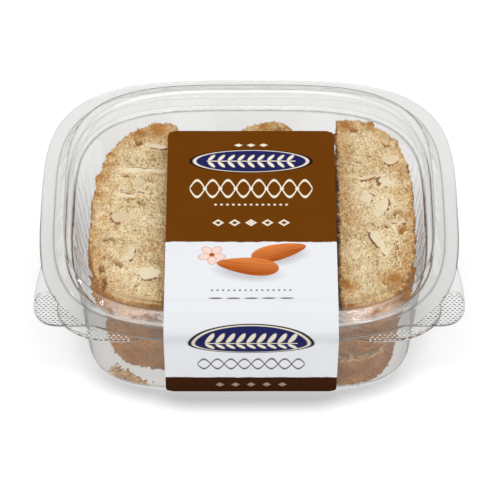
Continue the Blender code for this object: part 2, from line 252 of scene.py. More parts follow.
LABEL_HALF_WIDTH = 37.25 * MM
LABEL_OFF_CENTRE = (LABEL_LOW.x + LABEL_HIGH.x) / 2
LABEL_CORNER = 3.4 * MM
LABEL_THICKNESS = 0.16 * MM  # paper with its adhesive
LABEL_RIPPLE = 0.1 * MM
LABEL_DENT = (10.5 * MM, 35 * MM)  # right of the middle, and up from the foot
LABEL_DENT_REACH, LABEL_DENT_DEPTH = 2.2 * MM, 0.35 * MM
LABEL_COLUMNS, LABEL_STEP = 56, 1.1 * MM  # of its mesh
LABEL_WHITE_FROM = 73.1  # mm down the label, where the white field starts
LABEL_FOOT_BAND = 14.6  # mm, height of the dark band at the label's foot
LABEL_BENDS = (1.0 * MM, 1.0 * MM, 1.0 * MM, 2.6 * MM, 1.0 * MM)  # reach of each crease
UV_METRES = 0.2  # length of label that its UV map's side stands for

CRUMBS = 560
SPILLED = 520  # of them, those spilled in the corner

PHOTO_SIDE = 500  # width and height of the photograph in pixels
RIM_PIXEL = (249.0, 206.5)  # where the rim's middle stands in it
FOCAL_PIXELS = 3619.0  # the lens's focal length in the photograph's pixels
RIM_MIDDLE = Vector((0, CENTRE_Y, 50 * MM))

# A Mix node of colours: input 0 is the share, 6 the colour below and 7 the colour above.
COLOUR_MIX = {"data_type": "RGBA", "output": 2}


def linear(hex_colour):
    """The linear colour that shaders take, from an sRGB hex value."""
    shares = [int(hex_colour[index : index + 2], 16) / 255 for index in (1, 3, 5)]
    return tuple(
        share / 12.92 if share <= 0.04045 else ((share + 0.055) / 1.055) ** 2.4 for share in shares
    )


def colour(name, description, hex_colour):
    """A colour that a user may change, with its sRGB default."""
    return bpy.props.FloatVectorProperty(
        name=name, description=description, subtype="COLOR", size=3, min=0.0, max=1.0,
        default=linear(hex_colour),
    )


def length(name, description, millimetres):
    """A length that a user may change, with its default in mm."""
    return bpy.props.FloatProperty(
        name=name, description=description, unit="LENGTH", min=0.0, default=millimetres * MM
    )


class BiscottiTubSheet(bpy.types.PropertyGroup):
    """Clear plastic of the tub and lid."""

    thickness: length("Sheet", "Thickness of the thermoformed sheet", 0.38)
    flute_pitch: length("Flute pitch", "From one side flute to the next", 7.6)
    flute_depth: length("Flute depth", "How far the side flutes press in", 0.24)
    panel_wave: length("Panel wave", "How far the lid's middle wanders from flat", 0.12)
    stud_length: length("Stud length", "Length of one knurl stud on the finger tabs", 1.45)
    stud_width: length("Stud width", "Width of one knurl stud", 0.8)
    stud_height: length("Stud height", "How far a knurl stud stands up", 0.42)
    tint: colour("Tint", "What the sheet does to light that passes", "#FAFAF9")
    ior: bpy.props.FloatProperty(
        name="IOR", description="Index of refraction of PET", min=1.0, max=2.0, default=1.575
    )


class BiscottiBake(bpy.types.PropertyGroup):
    """Looks of the slices, almonds and crumbs."""

    voxel: length("Top crumb size", "Mesh size of the two outer top slices", 0.6)
    plain_voxel: length("Plain crumb size", "Mesh size of the other slices", 0.8)
    lump: length("Crust lump", "How far the crust wanders", 0.9)
    crumb: colour("Crumb", "Cut face of the slices", "#FCECC6")
    # Painted shade: the crumb between its grains.
    crumb_painted_shade: colour("Crumb shade", "Deeper crumb between the grains", "#DDBB80")
    gold: colour("Golden crumb", "Cut face near the crust, more baked", "#E6B15C")
    crust: colour("Crust", "Baked outside", "#CC8230")
    crust_dark: colour("Dark crust", "Most toasted spots", "#955218")
    # Painted shade: inside the pores and the deepest creases.
    pore_shade: colour("Pore", "Inside of the small holes", "#8A5C1C")
    nut: colour("Almond", "Cut face of the almond chips", "#EDE2C6")
    skin: colour("Almond skin", "Brown skin left on the chips", "#6B4530")


class BiscottiLabelPrint(bpy.types.PropertyGroup):
    """Paper and inks of the label band."""

    paper: colour("Paper", "Bare white coated paper", "#E9EBEF")
    brown: colour("Brown", "Field on the lid", "#6B3A06")
    foot: colour("Foot band", "Dark band at the label's foot", "#3C1C04")
    navy: colour("Navy", "Medallions", "#24265A")
    cream: colour("Cream", "Keylines, braids and beads", "#EFE6D2")
    grey: colour("Grey", "Fine rules on the white field", "#6B665F")
    almond: colour("Almond print", "Printed almonds", "#C8611F")


class BiscottiStudio(bpy.types.PropertyGroup):
    """Floor, light and camera."""

    floor: colour("Floor", "Plain pale sweep", "#808080")
    # The sweep's glow, which its material darkens into a painted shadow near the tub.
    floor_glow: bpy.props.FloatProperty(
        name="Floor glow", description="Light of the lit sweep itself", min=0.0, default=0.9
    )
    dome: bpy.props.FloatProperty(
        name="Dome", description="Strength of the even white light", min=0.0, default=0.6
    )
    softbox: bpy.props.FloatProperty(
        name="Softbox", description="Power of the key softbox in watts", min=0.0, default=9.3
    )
    distance: bpy.props.FloatProperty(
        name="Distance", description="From the rim's middle to the camera", unit="LENGTH", default=1.6
    )
    elevation: bpy.props.FloatProperty(
        name="Elevation", description="Camera above the rim", subtype="ANGLE", default=math.radians(43)
    )


def select_only(piece=None):
    """Select one object, or nothing: an operator acts on all that is selected."""
    bpy.ops.object.select_all(action="DESELECT")
    if piece:
        piece.select_set(True)
        bpy.context.view_layer.objects.active = piece


def settle(piece, name, slot, *nodes):
    """Name a finished piece, freeze its place into its mesh and hang it on the frame."""
    select_only(piece)
    bpy.ops.object.transform_apply(location=True, rotation=True, scale=True)
    piece.name = name
    piece.data.name = name
    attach(piece, ROOT)
    if nodes:
        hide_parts(*nodes)


def apply_modifier(piece, kind, **settings):
    """Add one modifier with its settings and apply it."""
    select_only(piece)
    modifier = piece.modifiers.new(kind.lower(), kind)
    for name, value in settings.items():
        setattr(modifier, name, value)
    bpy.ops.object.modifier_apply(modifier=modifier.name)


def open_edit():
    """Enter edit mode with the whole mesh selected."""
    bpy.ops.object.mode_set(mode="EDIT")
    bpy.ops.mesh.select_all(action="SELECT")


def close_edit():
    """Turn all faces outwards and leave edit mode."""
    bpy.ops.mesh.select_all(action="SELECT")
    bpy.ops.mesh.normals_make_consistent(inside=False)
    bpy.ops.object.mode_set(mode="OBJECT")


def joined(copies):
    """Join copies into the first of them."""
    select_only(copies[0])
    for copy in copies:
        copy.select_set(True)
    bpy.ops.object.join()
    return copies[0]


def smooth(piece, degrees=180):
    """Shade smooth, with edges sharper than that left hard."""
    select_only(piece)
    if degrees >= 180:
        bpy.ops.object.shade_smooth()
    else:
        bpy.ops.object.shade_smooth_by_angle(angle=math.radians(degrees))


def points_of(piece):
    """The mesh's vertex places as an array."""
    flat = np.empty(3 * len(piece.data.vertices))
    piece.data.vertices.foreach_get("co", flat)
    return flat.reshape(-1, 3)


def move_points(piece, places):
    """Put the mesh's vertices at new places."""
    piece.data.vertices.foreach_set("co", np.ascontiguousarray(places).ravel())
    piece.data.update()


def normals_of(piece):
    """The mesh's vertex normals as an array."""
    flat = np.empty(3 * len(piece.data.vertices))
    piece.data.vertex_normals.foreach_get("vector", flat)
    return flat.reshape(-1, 3)


def store(piece, name, values):
    """Keep one number a vertex on the mesh, for its material."""
    attribute = piece.data.attributes.new(name, "FLOAT", "POINT")
    attribute.data.foreach_set("value", np.asarray(values, np.float32))


def noise_at(places, size, seed=0.0):
    """Smooth noise from -1 to 1 at each place, its lumps about that size across."""
    shift = Vector((seed * 7.3, seed * 3.1, seed * 5.7))
    return np.array([noise.noise(Vector(place) / size + shift) for place in places])


def ease(low, high, values):
    """0 below low, 1 above high and a soft step between."""
    share = np.clip((values - low) / (high - low), 0, 1)
    return share * share * (3 - 2 * share)


def add_node(tree, kind, *values, output=0, links=None, **settings):
    """Add a shader node and return one of its outputs: values and sockets go in the order of
    its inputs, links by an input's name or number."""
    node = tree.nodes.new("ShaderNode" + kind)
    for name, value in settings.items():
        setattr(node, name, value)
    for key, value in [*enumerate(values), *(links or {}).items()]:
        socket = node.inputs[key]
        if isinstance(value, bpy.types.NodeSocket):
            tree.links.new(value, socket)
        elif socket.type == "RGBA":
            socket.default_value = (*value[:3], 1.0)
        else:
            socket.default_value = value
    return node.outputs[output] if node.outputs else None


def new_material(name):
    """An empty material, and the function that adds its nodes."""
    material = bpy.data.materials.new(name)
    material.use_nodes = True
    material.node_tree.nodes.clear()
    return material, functools.partial(add_node, material.node_tree)


def sheet_shader(add, props, shine=0.5, waves=0.12):
    """Clear plastic with slow waves. Near a bend its tint greys: painted shade for the dark lines along
    the bends.
    """
    place = add("TexCoord", output="Object")
    slow = {"Vector": place, "Scale": 1 / (7 * MM), "Detail": 2.0, "Roughness": 0.4}
    swell = add("TexNoise", links=slow)
    bump = add("Bump", links={"Height": swell, "Strength": waves, "Distance": 0.5 * MM})
    # Painted shade: the tint turns grey towards the sheet's bends.
    bend = add("Attribute", attribute_name="bend", output="Fac")
    dense = add("Mix", links={0: bend, 6: props.tint, 7: linear("#AEAEAC")}, **COLOUR_MIX)
    sheet = add(
        "BsdfPrincipled",
        links={
            "Base Color": dense,
            "Roughness": 0.03,
            "IOR": props.ior,
            "Specular IOR Level": shine,
            "Transmission Weight": 1.0,
            "Normal": bump,
        },
    )
    passing = add("BsdfTransparent", (0.97, 0.97, 0.97))
    return add("MixShader", add("LightPath", output="Is Shadow Ray"), sheet, passing)


def clear_sheet(props, name, **looks):
    """Thermoformed PET sheet: colourless, so the eye sees its edges, its reflections and the
    slow waves that forming leaves."""
    material, add = new_material(name)
    add("OutputMaterial", sheet_shader(add, props, **looks))
    return material


def cut_edge(name, grey, passing_share):
    """Die-cut edge of the PET sheet: the cut is frosted, so it draws a grey line."""
    material, add = new_material(name)
    place = add("TexCoord", output="Object")
    nicks = add("TexNoise", links={"Vector": place, "Scale": 1 / (1.5 * MM), "Detail": 2.0})
    rough = add("MapRange", nicks, 0.3, 0.7, 0.35, 0.6)
    frosted = add("BsdfPrincipled", links={"Base Color": linear(grey), "Roughness": rough})
    passing = add("BsdfTransparent", (0.95, 0.95, 0.95))
    both = add("MixShader", passing_share, frosted, passing)
    add("OutputMaterial", both)
    return material


def embossed_sheet(props, name, least, most):
    """Embossed PET studs, mixed in patches with a white matt shader from the least to the most share:
    painted glints, so that they catch the eye.
    """
    material, add = new_material(name)
    white = add("BsdfPrincipled", links={"Base Color": (0.96, 0.96, 0.96), "Roughness": 0.3})
    place = add("TexCoord", output="Object")
    patches = add("TexNoise", links={"Vector": place, "Scale": 1 / (1.4 * MM), "Detail": 2.0})
    # Painted glints: white patches over the studs.
    painted_glints = add("MapRange", patches, 0.4, 0.55, least, most)
    add("OutputMaterial", add("MixShader", painted_glints, sheet_shader(add, props), white))
    return material


def rim_ring(inset, height, squareness=RIM_SQUARENESS, narrowing=0.0, tab=None):
    """One loop of points at a height, that far in from the flange's edge."""
    across = np.abs(np.cos(ANGLES)) / (RIM_HALF_X - inset - narrowing)
    along = np.abs(np.sin(ANGLES)) / (RIM_HALF_Y - inset)
    radius = (across**squareness + along**squareness) ** (-1 / squareness)
    if tab is not None:
        radius = np.maximum(radius, tab - inset)
    return np.stack(
        (radius * np.cos(ANGLES), CENTRE_Y + radius * np.sin(ANGLES), np.full(RING_POINTS, height)),
        axis=1,
    )


def tab_reach(tab):
    """Distance from the middle to a finger tab's softened outline in every ring direction."""
    outline = np.array(tab)
    for _ in range(2):
        before, after = outline[:-1], outline[1:]
        cut = np.stack((0.75 * before + 0.25 * after, 0.25 * before + 0.75 * after), axis=1)
        outline = np.concatenate((outline[:1], cut.reshape(-1, 2), outline[-1:]))
    turn = np.arctan2(outline[:, 1], outline[:, 0])
    order = np.argsort(turn)
    folded = np.arctan2(np.sin(ANGLES), np.abs(np.cos(ANGLES)))
    reach = np.hypot(outline[:, 0], outline[:, 1])[order] * MM
    return np.interp(folded, turn[order], reach, left=0.0, right=0.0)


def soften(rings, radius):
    """The rings with each inner bend replaced by a short curve of that radius."""
    steps = 4
    soft = [rings[0]]
    for before, corner, after in zip(rings, rings[1:], rings[2:]):
        ways = []
        for other in (before, after):
            way = other - corner
            span = np.linalg.norm(way, axis=1, keepdims=True)
            ways.append(way / span * np.minimum(radius, 0.45 * span))
        for step in range(steps + 1):
            share = step / steps
            soft.append(corner + ways[0] * (1 - share) ** 2 + ways[1] * share**2)
    soft.append(rings[-1])
    return soft


def with_rows(rings, longest):
    """The rings with more between any two that lie further apart than that."""
    filled = [rings[0]]
    for start, end in zip(rings, rings[1:]):
        gap = np.linalg.norm(end - start, axis=1).mean()
        count = max(1, math.ceil(gap / longest))
        filled += [start + (end - start) * step / count for step in range(1, count + 1)]
    return filled


def place_ring(mesh, ring):
    """Put the selected loop of vertices on a ring, in order round the middle."""
    shape = bmesh.from_edit_mesh(mesh)
    chosen = [vertex for vertex in shape.verts if vertex.select]
    chosen.sort(key=lambda vertex: math.atan2(vertex.co.y - CENTRE_Y, vertex.co.x))
    for vertex, place in zip(chosen, ring):
        vertex.co = place
    bmesh.update_edit_mesh(mesh)


def store_bends(shell, bends):
    """Keep on the mesh how near each point is to a bend of the sheet, and how dark that bend's painted
    shade is.
    """
    places = points_of(shell)
    values = np.zeros(len(places))
    for ring, share in bends:
        spots = kdtree.KDTree(len(ring))
        for number, spot in enumerate(ring):
            spots.insert(spot, number)
        spots.balance()
        gaps = np.array([spots.find(place)[2] for place in places])
        values = np.maximum(values, share * (1 - ease(0.3 * BEND_WIDTH, BEND_WIDTH, gaps)))
    store(shell, "bend", values)


def draw_shell(rings, bends, thickness, outside_down, materials):
    """A circle laid on the first ring, extruded from ring to ring, closed in its middle, and
    given its sheet thickness inwards."""
    select_only()
    bpy.ops.mesh.primitive_circle_add(
        vertices=RING_POINTS, radius=RIM_HALF_X, location=(0, 0, 0), fill_type="NOTHING"
    )
    shell = bpy.context.object
    open_edit()
    shape = bmesh.from_edit_mesh(shell.data)
    for vertex in shape.verts:
        vertex.co.y += CENTRE_Y
    bpy.ops.transform.rotate(
        value=math.pi / RING_POINTS, orient_axis="Z", center_override=(0, CENTRE_Y, 0)
    )
    place_ring(shell.data, rings[0])
    for ring in rings[1:]:
        bpy.ops.mesh.extrude_region()
        place_ring(shell.data, ring)
    bpy.ops.mesh.extrude_region()
    bpy.ops.mesh.merge(type="CENTER")
    bpy.ops.mesh.select_all(action="SELECT")
    bpy.ops.mesh.remove_doubles(threshold=1e-7)
    bpy.ops.mesh.normals_make_consistent(inside=False)
    middle = min(
        bmesh.from_edit_mesh(shell.data).faces,
        key=lambda face: (face.calc_center_median().xy - Vector((0, CENTRE_Y))).length,
    )
    if (middle.normal.z < 0) != outside_down:
        bpy.ops.mesh.flip_normals()
    bpy.ops.object.mode_set(mode="OBJECT")
    for material in materials:
        shell.data.materials.append(material)
    store_bends(shell, bends)
    apply_modifier(
        shell, "SOLIDIFY", thickness=thickness, offset=-1.0, use_even_offset=True, material_offset_rim=1
    )
    apply_modifier(
        shell, "BEVEL", width=CUT_BEVEL, segments=2, limit_method="ANGLE", angle_limit=math.radians(60),
        material=1,
    )
    smooth(shell)
    return shell


def middle_rings(edge, count):
    """Rings that shrink from an edge to the middle."""
    hub = np.array((0, CENTRE_Y, edge[0, 2]))
    return [hub + (edge - hub) * (1 - step / count) for step in range(1, count)]


def flute_depth(props, places):
    """How far the side walls' upright flutes press in at each place."""
    pitch = props.flute_pitch
    across = (places[:, 1] - CENTRE_Y) / pitch
    off = np.abs(across - np.round(across)) / 0.36
    half = pitch / 2
    above = np.maximum(places[:, 2] - (FLUTE_HIGH - half), 0) / half
    below = np.maximum((FLUTE_LOW + half) - places[:, 2], 0) / half
    share = np.sqrt(off**2 + above**2 + below**2)
    press = props.flute_depth * np.sqrt(np.clip(1 - share**2, 0, 1))
    inside = (places[:, 1] > FLUTE_FRONT) & (places[:, 1] < FLUTE_BACK)
    return np.where(inside & (np.abs(places[:, 0]) > 0.6 * RIM_HALF_X), press, 0.0)


def tub_rings(props):
    """The tub's outer skin from the flange's edge down to the middle of its floor."""
    under = FLANGE_TOP - props.thickness
    tab = tab_reach(TUB_TAB)
    upper = [
        rim_ring(0.0, under, tab=tab), rim_ring(SEAL_INSET, under), rim_ring(SEAL_INSET + SHEET, LEDGE_Z),
        rim_ring(LEDGE_INSET, LEDGE_Z - SHEET),
    ]
    foot = []
    for degrees in (90, 78, 66, 54, 42, 30, 18, 8, 0):
        turn = math.radians(degrees)
        inset = FOOT_INSET + FOOT_RADIUS * (1 - math.sin(turn))
        height = FOOT_RADIUS * (1 - math.cos(turn))
        foot.append(rim_ring(inset, height, FOOT_SQUARENESS, FOOT_NARROWING))
    # Each bend with how dark its painted shade is.
    bends = list(zip(upper[1:4], (0.4, 0.4, 0.9)))
    upper = soften([*upper, foot[0]], TUB_BEND)
    rings = with_rows([*upper, *foot[1:]], RING_SPACING)
    for ring in rings:
        ring[:, 0] -= np.sign(ring[:, 0]) * flute_depth(props, ring)
    return rings + middle_rings(foot[-1], 12), bends


def lid_rings(props):
    """The lid's upper skin from the flange's edge over the ridge to the middle."""
    flange = LID_FLANGE_BOTTOM + props.thickness
    panel = LID_TOP - LID_PANEL_DROP
    ridge_inner = LID_SHOULDER_INSET + LID_RIDGE_WIDTH
    panel_edge = rim_ring(ridge_inner + 2 * LID_PANEL_DROP, panel)
    hub = np.array((0, CENTRE_Y, panel))
    corners = [
        rim_ring(0.0, flange, tab=tab_reach(LID_TAB)),
        rim_ring(LID_WALL_FOOT_INSET, flange),
        rim_ring(LID_SHOULDER_INSET, LID_TOP),
        rim_ring(ridge_inner, LID_TOP),
        panel_edge,
        hub + (panel_edge - hub) * 0.9,
    ]
    rings = with_rows(soften(corners, LID_BEND), RING_SPACING)
    panel_rings = middle_rings(corners[-1], 14)
    for ring in panel_rings:
        ring[:, 2] += props.panel_wave * noise_at(ring, 34 * MM)
    # The bends, each with how dark its painted shade is.
    return rings + panel_rings, list(zip(corners[1:5], (0.8, 0.7, 0.25, 0.15)))


class BISCOTTI_OT_tub(bpy.types.Operator):
    """Draw the clear tub: flange with finger tabs, seal wall, ledge, fluted sides and foot"""

    bl_idname = "biscotti.tub"
    bl_label = "Tub"

    def execute(self, context):
        props = context.scene.biscotti_sheet
        sheet = clear_sheet(props, "thermoformed_PET_tub", shine=0.14)
        materials = (sheet, cut_edge("die_cut_PET_tub", "#D6D6D4", 0.6))
        tub = draw_shell(*tub_rings(props), props.thickness, True, materials)
        settle(tub, "tub_shell", "clear_plastic", "tub")
        return {"FINISHED"}


class BISCOTTI_OT_lid(bpy.types.Operator):
    """Draw the clear lid: flange with finger tabs, slanting wall, ridge and wavy middle"""

    bl_idname = "biscotti.lid"
    bl_label = "Lid"

    def execute(self, context):
        props = context.scene.biscotti_sheet
        sheet = clear_sheet(props, "thermoformed_PET_lid", waves=0.45)
        materials = (sheet, cut_edge("die_cut_PET_lid", "#C6C6C4", 0.35))
        lid = draw_shell(*lid_rings(props), props.thickness, False, materials)
        settle(lid, "lid_shell", "clear_plastic", "lid")
        return {"FINISHED"}


def inside_outline(place, outline):
    """Whether a point lies inside a closed outline."""
    x, y = place
    hits = 0
    for (x0, y0), (x1, y1) in zip(outline, (*outline[1:], outline[0])):
        if (y0 > y) != (y1 > y) and x < x0 + (y - y0) / (y1 - y0) * (x1 - x0):
            hits += 1
    return hits % 2 == 1


def add_studs(props, name, outline, face_z, material, size=1.0):
    """Knurl studs in staggered rows over one pair of finger tabs: one is modelled as a low
    diamond with slanting sides, and copied."""
    select_only()
    bpy.ops.mesh.primitive_circle_add(vertices=4, radius=0.5, fill_type="NGON")
    stud = bpy.context.object
    stud.scale = (size * props.stud_length, size * props.stud_width, 1)
    bpy.ops.object.transform_apply(scale=True)
    open_edit()
    bpy.ops.mesh.extrude_region_move(TRANSFORM_OT_translate={"value": (0, 0, props.stud_height)})
    bpy.ops.transform.resize(value=(0.35, 0.35, 1), center_override=(0, 0, props.stud_height))
    close_edit()
    template = stud.data
    template.materials.append(material)
    bpy.data.objects.remove(stud)
    copies = []
    for row, column in itertools.product(STUD_ROWS, STUD_COLUMNS):
        x = column * STUD_PITCH_X + (row % 2) * STUD_PITCH_X / 2
        y = row * STUD_PITCH_Y
        if not inside_outline((x, y), outline):
            continue
        for side in (-1, 1):
            copy = bpy.data.objects.new(name, template.copy())
            copy.location = (side * x * MM, y * MM + CENTRE_Y, face_z - STUD_SINK)
            copy.rotation_euler.z = side * STUD_TURN
            bpy.context.scene.collection.objects.link(copy)
            copies.append(copy)
    grip = joined(copies)
    smooth(grip, 20)
    settle(grip, name, "clear_plastic")


def add_bead(name, outline, face_z, material):
    """A thin pressed bead along the inner end of the knurl, on both tabs."""
    select_only()
    drawn = bpy.data.curves.new(name, "CURVE")
    drawn.dimensions = "3D"
    drawn.bevel_depth = BEAD_RADIUS
    drawn.bevel_resolution = 2
    drawn.use_fill_caps = True
    for side in (-1, 1):
        line = drawn.splines.new("NURBS")
        line.points.add(len(outline) - 1)
        line.use_endpoint_u = True
        line.order_u = 3
        for point, (x, y) in zip(line.points, outline):
            point.co = (side * x * MM, y * MM + CENTRE_Y, face_z, 1)
    bead = bpy.data.objects.new(name, drawn)
    bpy.context.scene.collection.objects.link(bead)
    select_only(bead)
    bpy.ops.object.convert(target="MESH")
    bead = bpy.context.object
    bead.data.materials.append(material)
    open_edit()
    bpy.ops.mesh.remove_doubles(threshold=1e-7)
    close_edit()
    smooth(bead)
    settle(bead, name, "clear_plastic")


class BISCOTTI_OT_grips(bpy.types.Operator):
    """Raise the knurl studs on the finger tabs of the lid and the tub"""

    bl_idname = "biscotti.grips"
    bl_label = "Tab knurls"

    def execute(self, context):
        props = context.scene.biscotti_sheet
        clear = clear_sheet(props, "thermoformed_PET_bead")
        # Painted glints: few on the lid's studs, many on the tub's.
        lid_studs = embossed_sheet(props, "embossed_PET_lid_knurl_painted_glints", 0.02, 0.14)
        tub_studs = embossed_sheet(props, "embossed_PET_tub_knurl_painted_glints", 0.4, 1.0)
        flange = LID_FLANGE_BOTTOM + props.thickness
        add_studs(props, "lid_tab_knurl", LID_GRIP, flange, lid_studs)
        add_bead("lid_tab_bead", LID_BEAD, flange, clear)
        add_studs(props, "tub_tab_knurl", TUB_GRIP, FLANGE_TOP, tub_studs, 0.8)
        return {"FINISHED"}


def spin(degrees):
    """The matrix that turns points in plan."""
    turn = math.radians(degrees)
    return np.array(((math.cos(turn), -math.sin(turn)), (math.sin(turn), math.cos(turn))))


def slice_outline(entry, angles):
    """Plan of one slice: straight base side, domed other side with its own two ends."""
    name, _, base_x, dome, width, middle_y, half, back, front, degrees = entry
    corner = 0.3 if name == "biscotti_top_middle" else 0.04
    cosine, sine = np.cos(angles), np.sin(angles)
    power = np.where(sine > 0, back, front)
    bulge = np.maximum(cosine, 0) ** (2 / power)
    reach = np.abs(sine) ** np.where(cosine > 0, 2 / power, 0.35)
    round_off = np.clip((reach - 0.86) / 0.14, 0, 1)
    base = np.where(cosine > 0, 0.0, corner * np.sqrt(1 - round_off**2))
    x = base_x + dome * width * (corner - base + (1 - corner) * bulge)
    y = middle_y + np.copysign(half * reach, sine)
    hub = np.array((base_x + dome * width / 2, middle_y))
    return (hub + (np.stack((x, y), axis=1) - hub) @ spin(degrees).T) * MM


def slice_block(entry, voxel, fine):
    """A filled circle drawn to the slice's outline, extruded to its thickness, its edges
    broken by a bevel, the whole remeshed and a cut face that shows divided again."""
    bottom = SLICE_FLOOR + SLICE_GAP + entry[1] * (SLICE_THICKNESS + SLICE_GAP)
    select_only()
    bpy.ops.mesh.primitive_circle_add(vertices=SLICE_POINTS, radius=1, fill_type="NGON")
    block = bpy.context.object
    places = points_of(block)
    turns = np.arctan2(places[:, 1], places[:, 0])
    plan = slice_outline(entry, turns)
    away = plan - plan.mean(0)
    plan -= away * (SLICE_SHRINK / np.linalg.norm(away, axis=1, keepdims=True))
    move_points(block, np.column_stack((plan, np.full(SLICE_POINTS, bottom))))
    open_edit()
    bpy.ops.mesh.extrude_region_move(TRANSFORM_OT_translate={"value": (0, 0, SLICE_THICKNESS)})
    close_edit()
    apply_modifier(
        block, "BEVEL", width=SLICE_BEVEL, segments=2, limit_method="ANGLE", angle_limit=math.radians(70)
    )
    apply_modifier(block, "REMESH", mode="VOXEL", voxel_size=voxel)
    if fine:
        bpy.ops.object.mode_set(mode="EDIT")
        bpy.ops.mesh.select_all(action="DESELECT")
        shape = bmesh.from_edit_mesh(block.data)
        for face in shape.faces:
            face.select_set(face.calc_center_median().z > bottom + SLICE_THICKNESS - CUT_LAYER)
        bmesh.update_edit_mesh(block.data)
        bpy.ops.mesh.subdivide(number_cuts=1)
        bpy.ops.object.mode_set(mode="OBJECT")
    return block, plan, bottom


def edge_distance(plan, places):
    """Distance of each place from the slice's outline, seen from above."""
    closed = np.concatenate((plan, plan[:1]))
    start, side = closed[:-1], np.diff(closed, axis=0)
    best = np.full(len(places), np.inf)
    for origin, way in zip(start, side):
        span = way @ way
        if span < 1e-14:
            continue
        share = np.clip(((places[:, :2] - origin) @ way) / span, 0, 1)
        gap = places[:, :2] - origin - share[:, None] * way
        best = np.minimum(best, np.hypot(gap[:, 0], gap[:, 1]))
    return best


def cell_distance(places, size, seed):
    """Distance to the nearest of scattered points, in cells of about that size."""
    shift = Vector((seed, seed * 2.3, seed * 1.7))
    return np.array([noise.voronoi(Vector(place) / size + shift)[0][0] for place in places])


def turned_share(places, x, y, half, narrow, degrees):
    """How far each place is from a point, in shares of an oval's own reach."""
    turn = math.radians(degrees)
    gap_x, gap_y = places[:, 0] - x * MM, places[:, 1] - y * MM
    along = (gap_x * math.cos(turn) + gap_y * math.sin(turn)) / (half * MM)
    across = (gap_y * math.cos(turn) - gap_x * math.sin(turn)) / (narrow * MM)
    return np.hypot(along, across)


def sculpt_slice(props, entry, fine):
    """Knead one slice: lumpy crust, crumbly cut faces, pores, hollows and baked knobs, with how toasted
    and how deep each point is kept for the material, which paints shade where it is deep."""
    name = entry[0]
    block, plan, bottom = slice_block(entry, props.voxel if fine else props.plain_voxel, fine)
    before = points_of(block)
    normals = normals_of(block)
    rim = edge_distance(plan, before)
    side = ease(0.3, 0.7, 1 - np.abs(normals[:, 2]))
    coarse = noise_at(before, 8 * MM)
    middling = noise_at(before, 3.4 * MM, 2.0)
    lumps = np.abs(noise_at(before, 2.4 * MM, 4.0))
    grain = np.abs(noise_at(before, 1.15 * MM, 6.0))
    crumbly = ease(-0.35, 0.35, noise_at(before, 11 * MM, 8.0))
    crust = np.maximum(1 - ease(0.1 * MM, 2.2 * MM, rim + 1.2 * MM * middling), side)
    gold = 1 - ease(-1.0 * MM, 10 * MM, rim + MM * (7 * coarse + 6 * middling))
    gold = 0.85 * gold + 0.25 * ease(0.0, 0.5, middling + 0.5 * coarse)
    push = crust * (props.lump * (0.9 * coarse + 0.9 * middling) - 0.1 * MM)
    push += (1 - crust) * MM * (0.45 * coarse + 0.7 * middling - 0.8)
    push += MM * (2.1 * lumps + 2.0 * grain - 0.5) * (0.5 + 0.5 * crumbly)
    creases = (1 - ease(0.0, 0.2, lumps)) * 0.6 + (1 - ease(0.0, 0.16, grain)) * 0.5
    holes = 1 - ease(0.1, 0.34, cell_distance(before, 2.9 * MM, 3.0))
    holes *= 0.3 + 0.7 * ease(-0.2, 0.3, noise_at(before, 6 * MM, 9.0))
    push -= 0.9 * MM * holes
    if fine:
        small = 1 - ease(0.12, 0.36, cell_distance(before, 1.5 * MM, 5.0))
        push -= 0.35 * MM * small
        holes = np.maximum(holes, 0.7 * small)
    broken = crust * ease(-0.3, 0.5, coarse + 0.8 * middling)
    toasted = np.clip(np.maximum(side * (0.8 + 0.3 * coarse), 0.5 * broken), 0, 1)
    # Depth drives painted shade in the material: creases and holes are drawn darker.
    depth = np.maximum(0.85 * holes, creases * (0.45 + 0.55 * crumbly))
    top = bottom + SLICE_THICKNESS
    upper = ease(top - 6 * MM, top - 3 * MM, before[:, 2])
    wobble = 1 + 0.35 * middling + 0.5 * (lumps - 0.2)
    for x, y, half, narrow, degrees, deep, heat in HOLLOWS.get(name, ()):
        share = turned_share(before, x, y, half, narrow, degrees) * wobble
        hollow = (1 - ease(0.45, 1.2, share)) * upper
        push -= deep * MM * hollow
        depth = np.maximum(depth, hollow * 0.8)
        # The hollow's inside darkens to crust colour by its share.
        toasted = np.maximum(toasted, hollow * heat)
    for x, y, half, narrow, degrees, *_ in CHIPS.get(name, ()):
        share = turned_share(before, x, y, half, narrow, degrees) + 0.3 * middling
        near = (1 - ease(1.0, 1.8, share)) * upper
        under = (1 - ease(0.72, 0.95, share + 0.5 * (lumps - 0.2))) * upper
        push = push * (1 - 0.5 * near) + 0.1 * MM * near - 1.4 * MM * under
        depth = depth * (1 - 0.5 * near)
    for x, y, radius, out in KNOBS.get(name, ()):
        knob = (1 - ease(0.3, 1.0, turned_share(before, x, y, radius, radius, 0))) * upper
        push += out * MM * knob
        toasted = np.maximum(toasted, knob * 0.9)
        gold = np.maximum(gold, 1 - ease(0.9, 2.4, turned_share(before, x, y, radius, radius, 0)))
    places = before + normals * push[:, None]
    places[:, 2] = np.clip(places[:, 2], bottom - 0.1 * MM, top + 0.7 * MM)
    move_points(block, places)
    store(block, "toasted", np.clip(toasted, 0, 1))
    store(block, "depth", np.clip(depth, 0, 1))
    store(block, "gold", np.clip(gold, 0, 1))
    # Painted shade for the right slices' crust, kept for the material.
    store(block, "painted_right_shade", np.full(len(before), RIGHT_SLICES_PAINTED_SHADE.get(name, 0.0)))
    smooth(block)
    return block


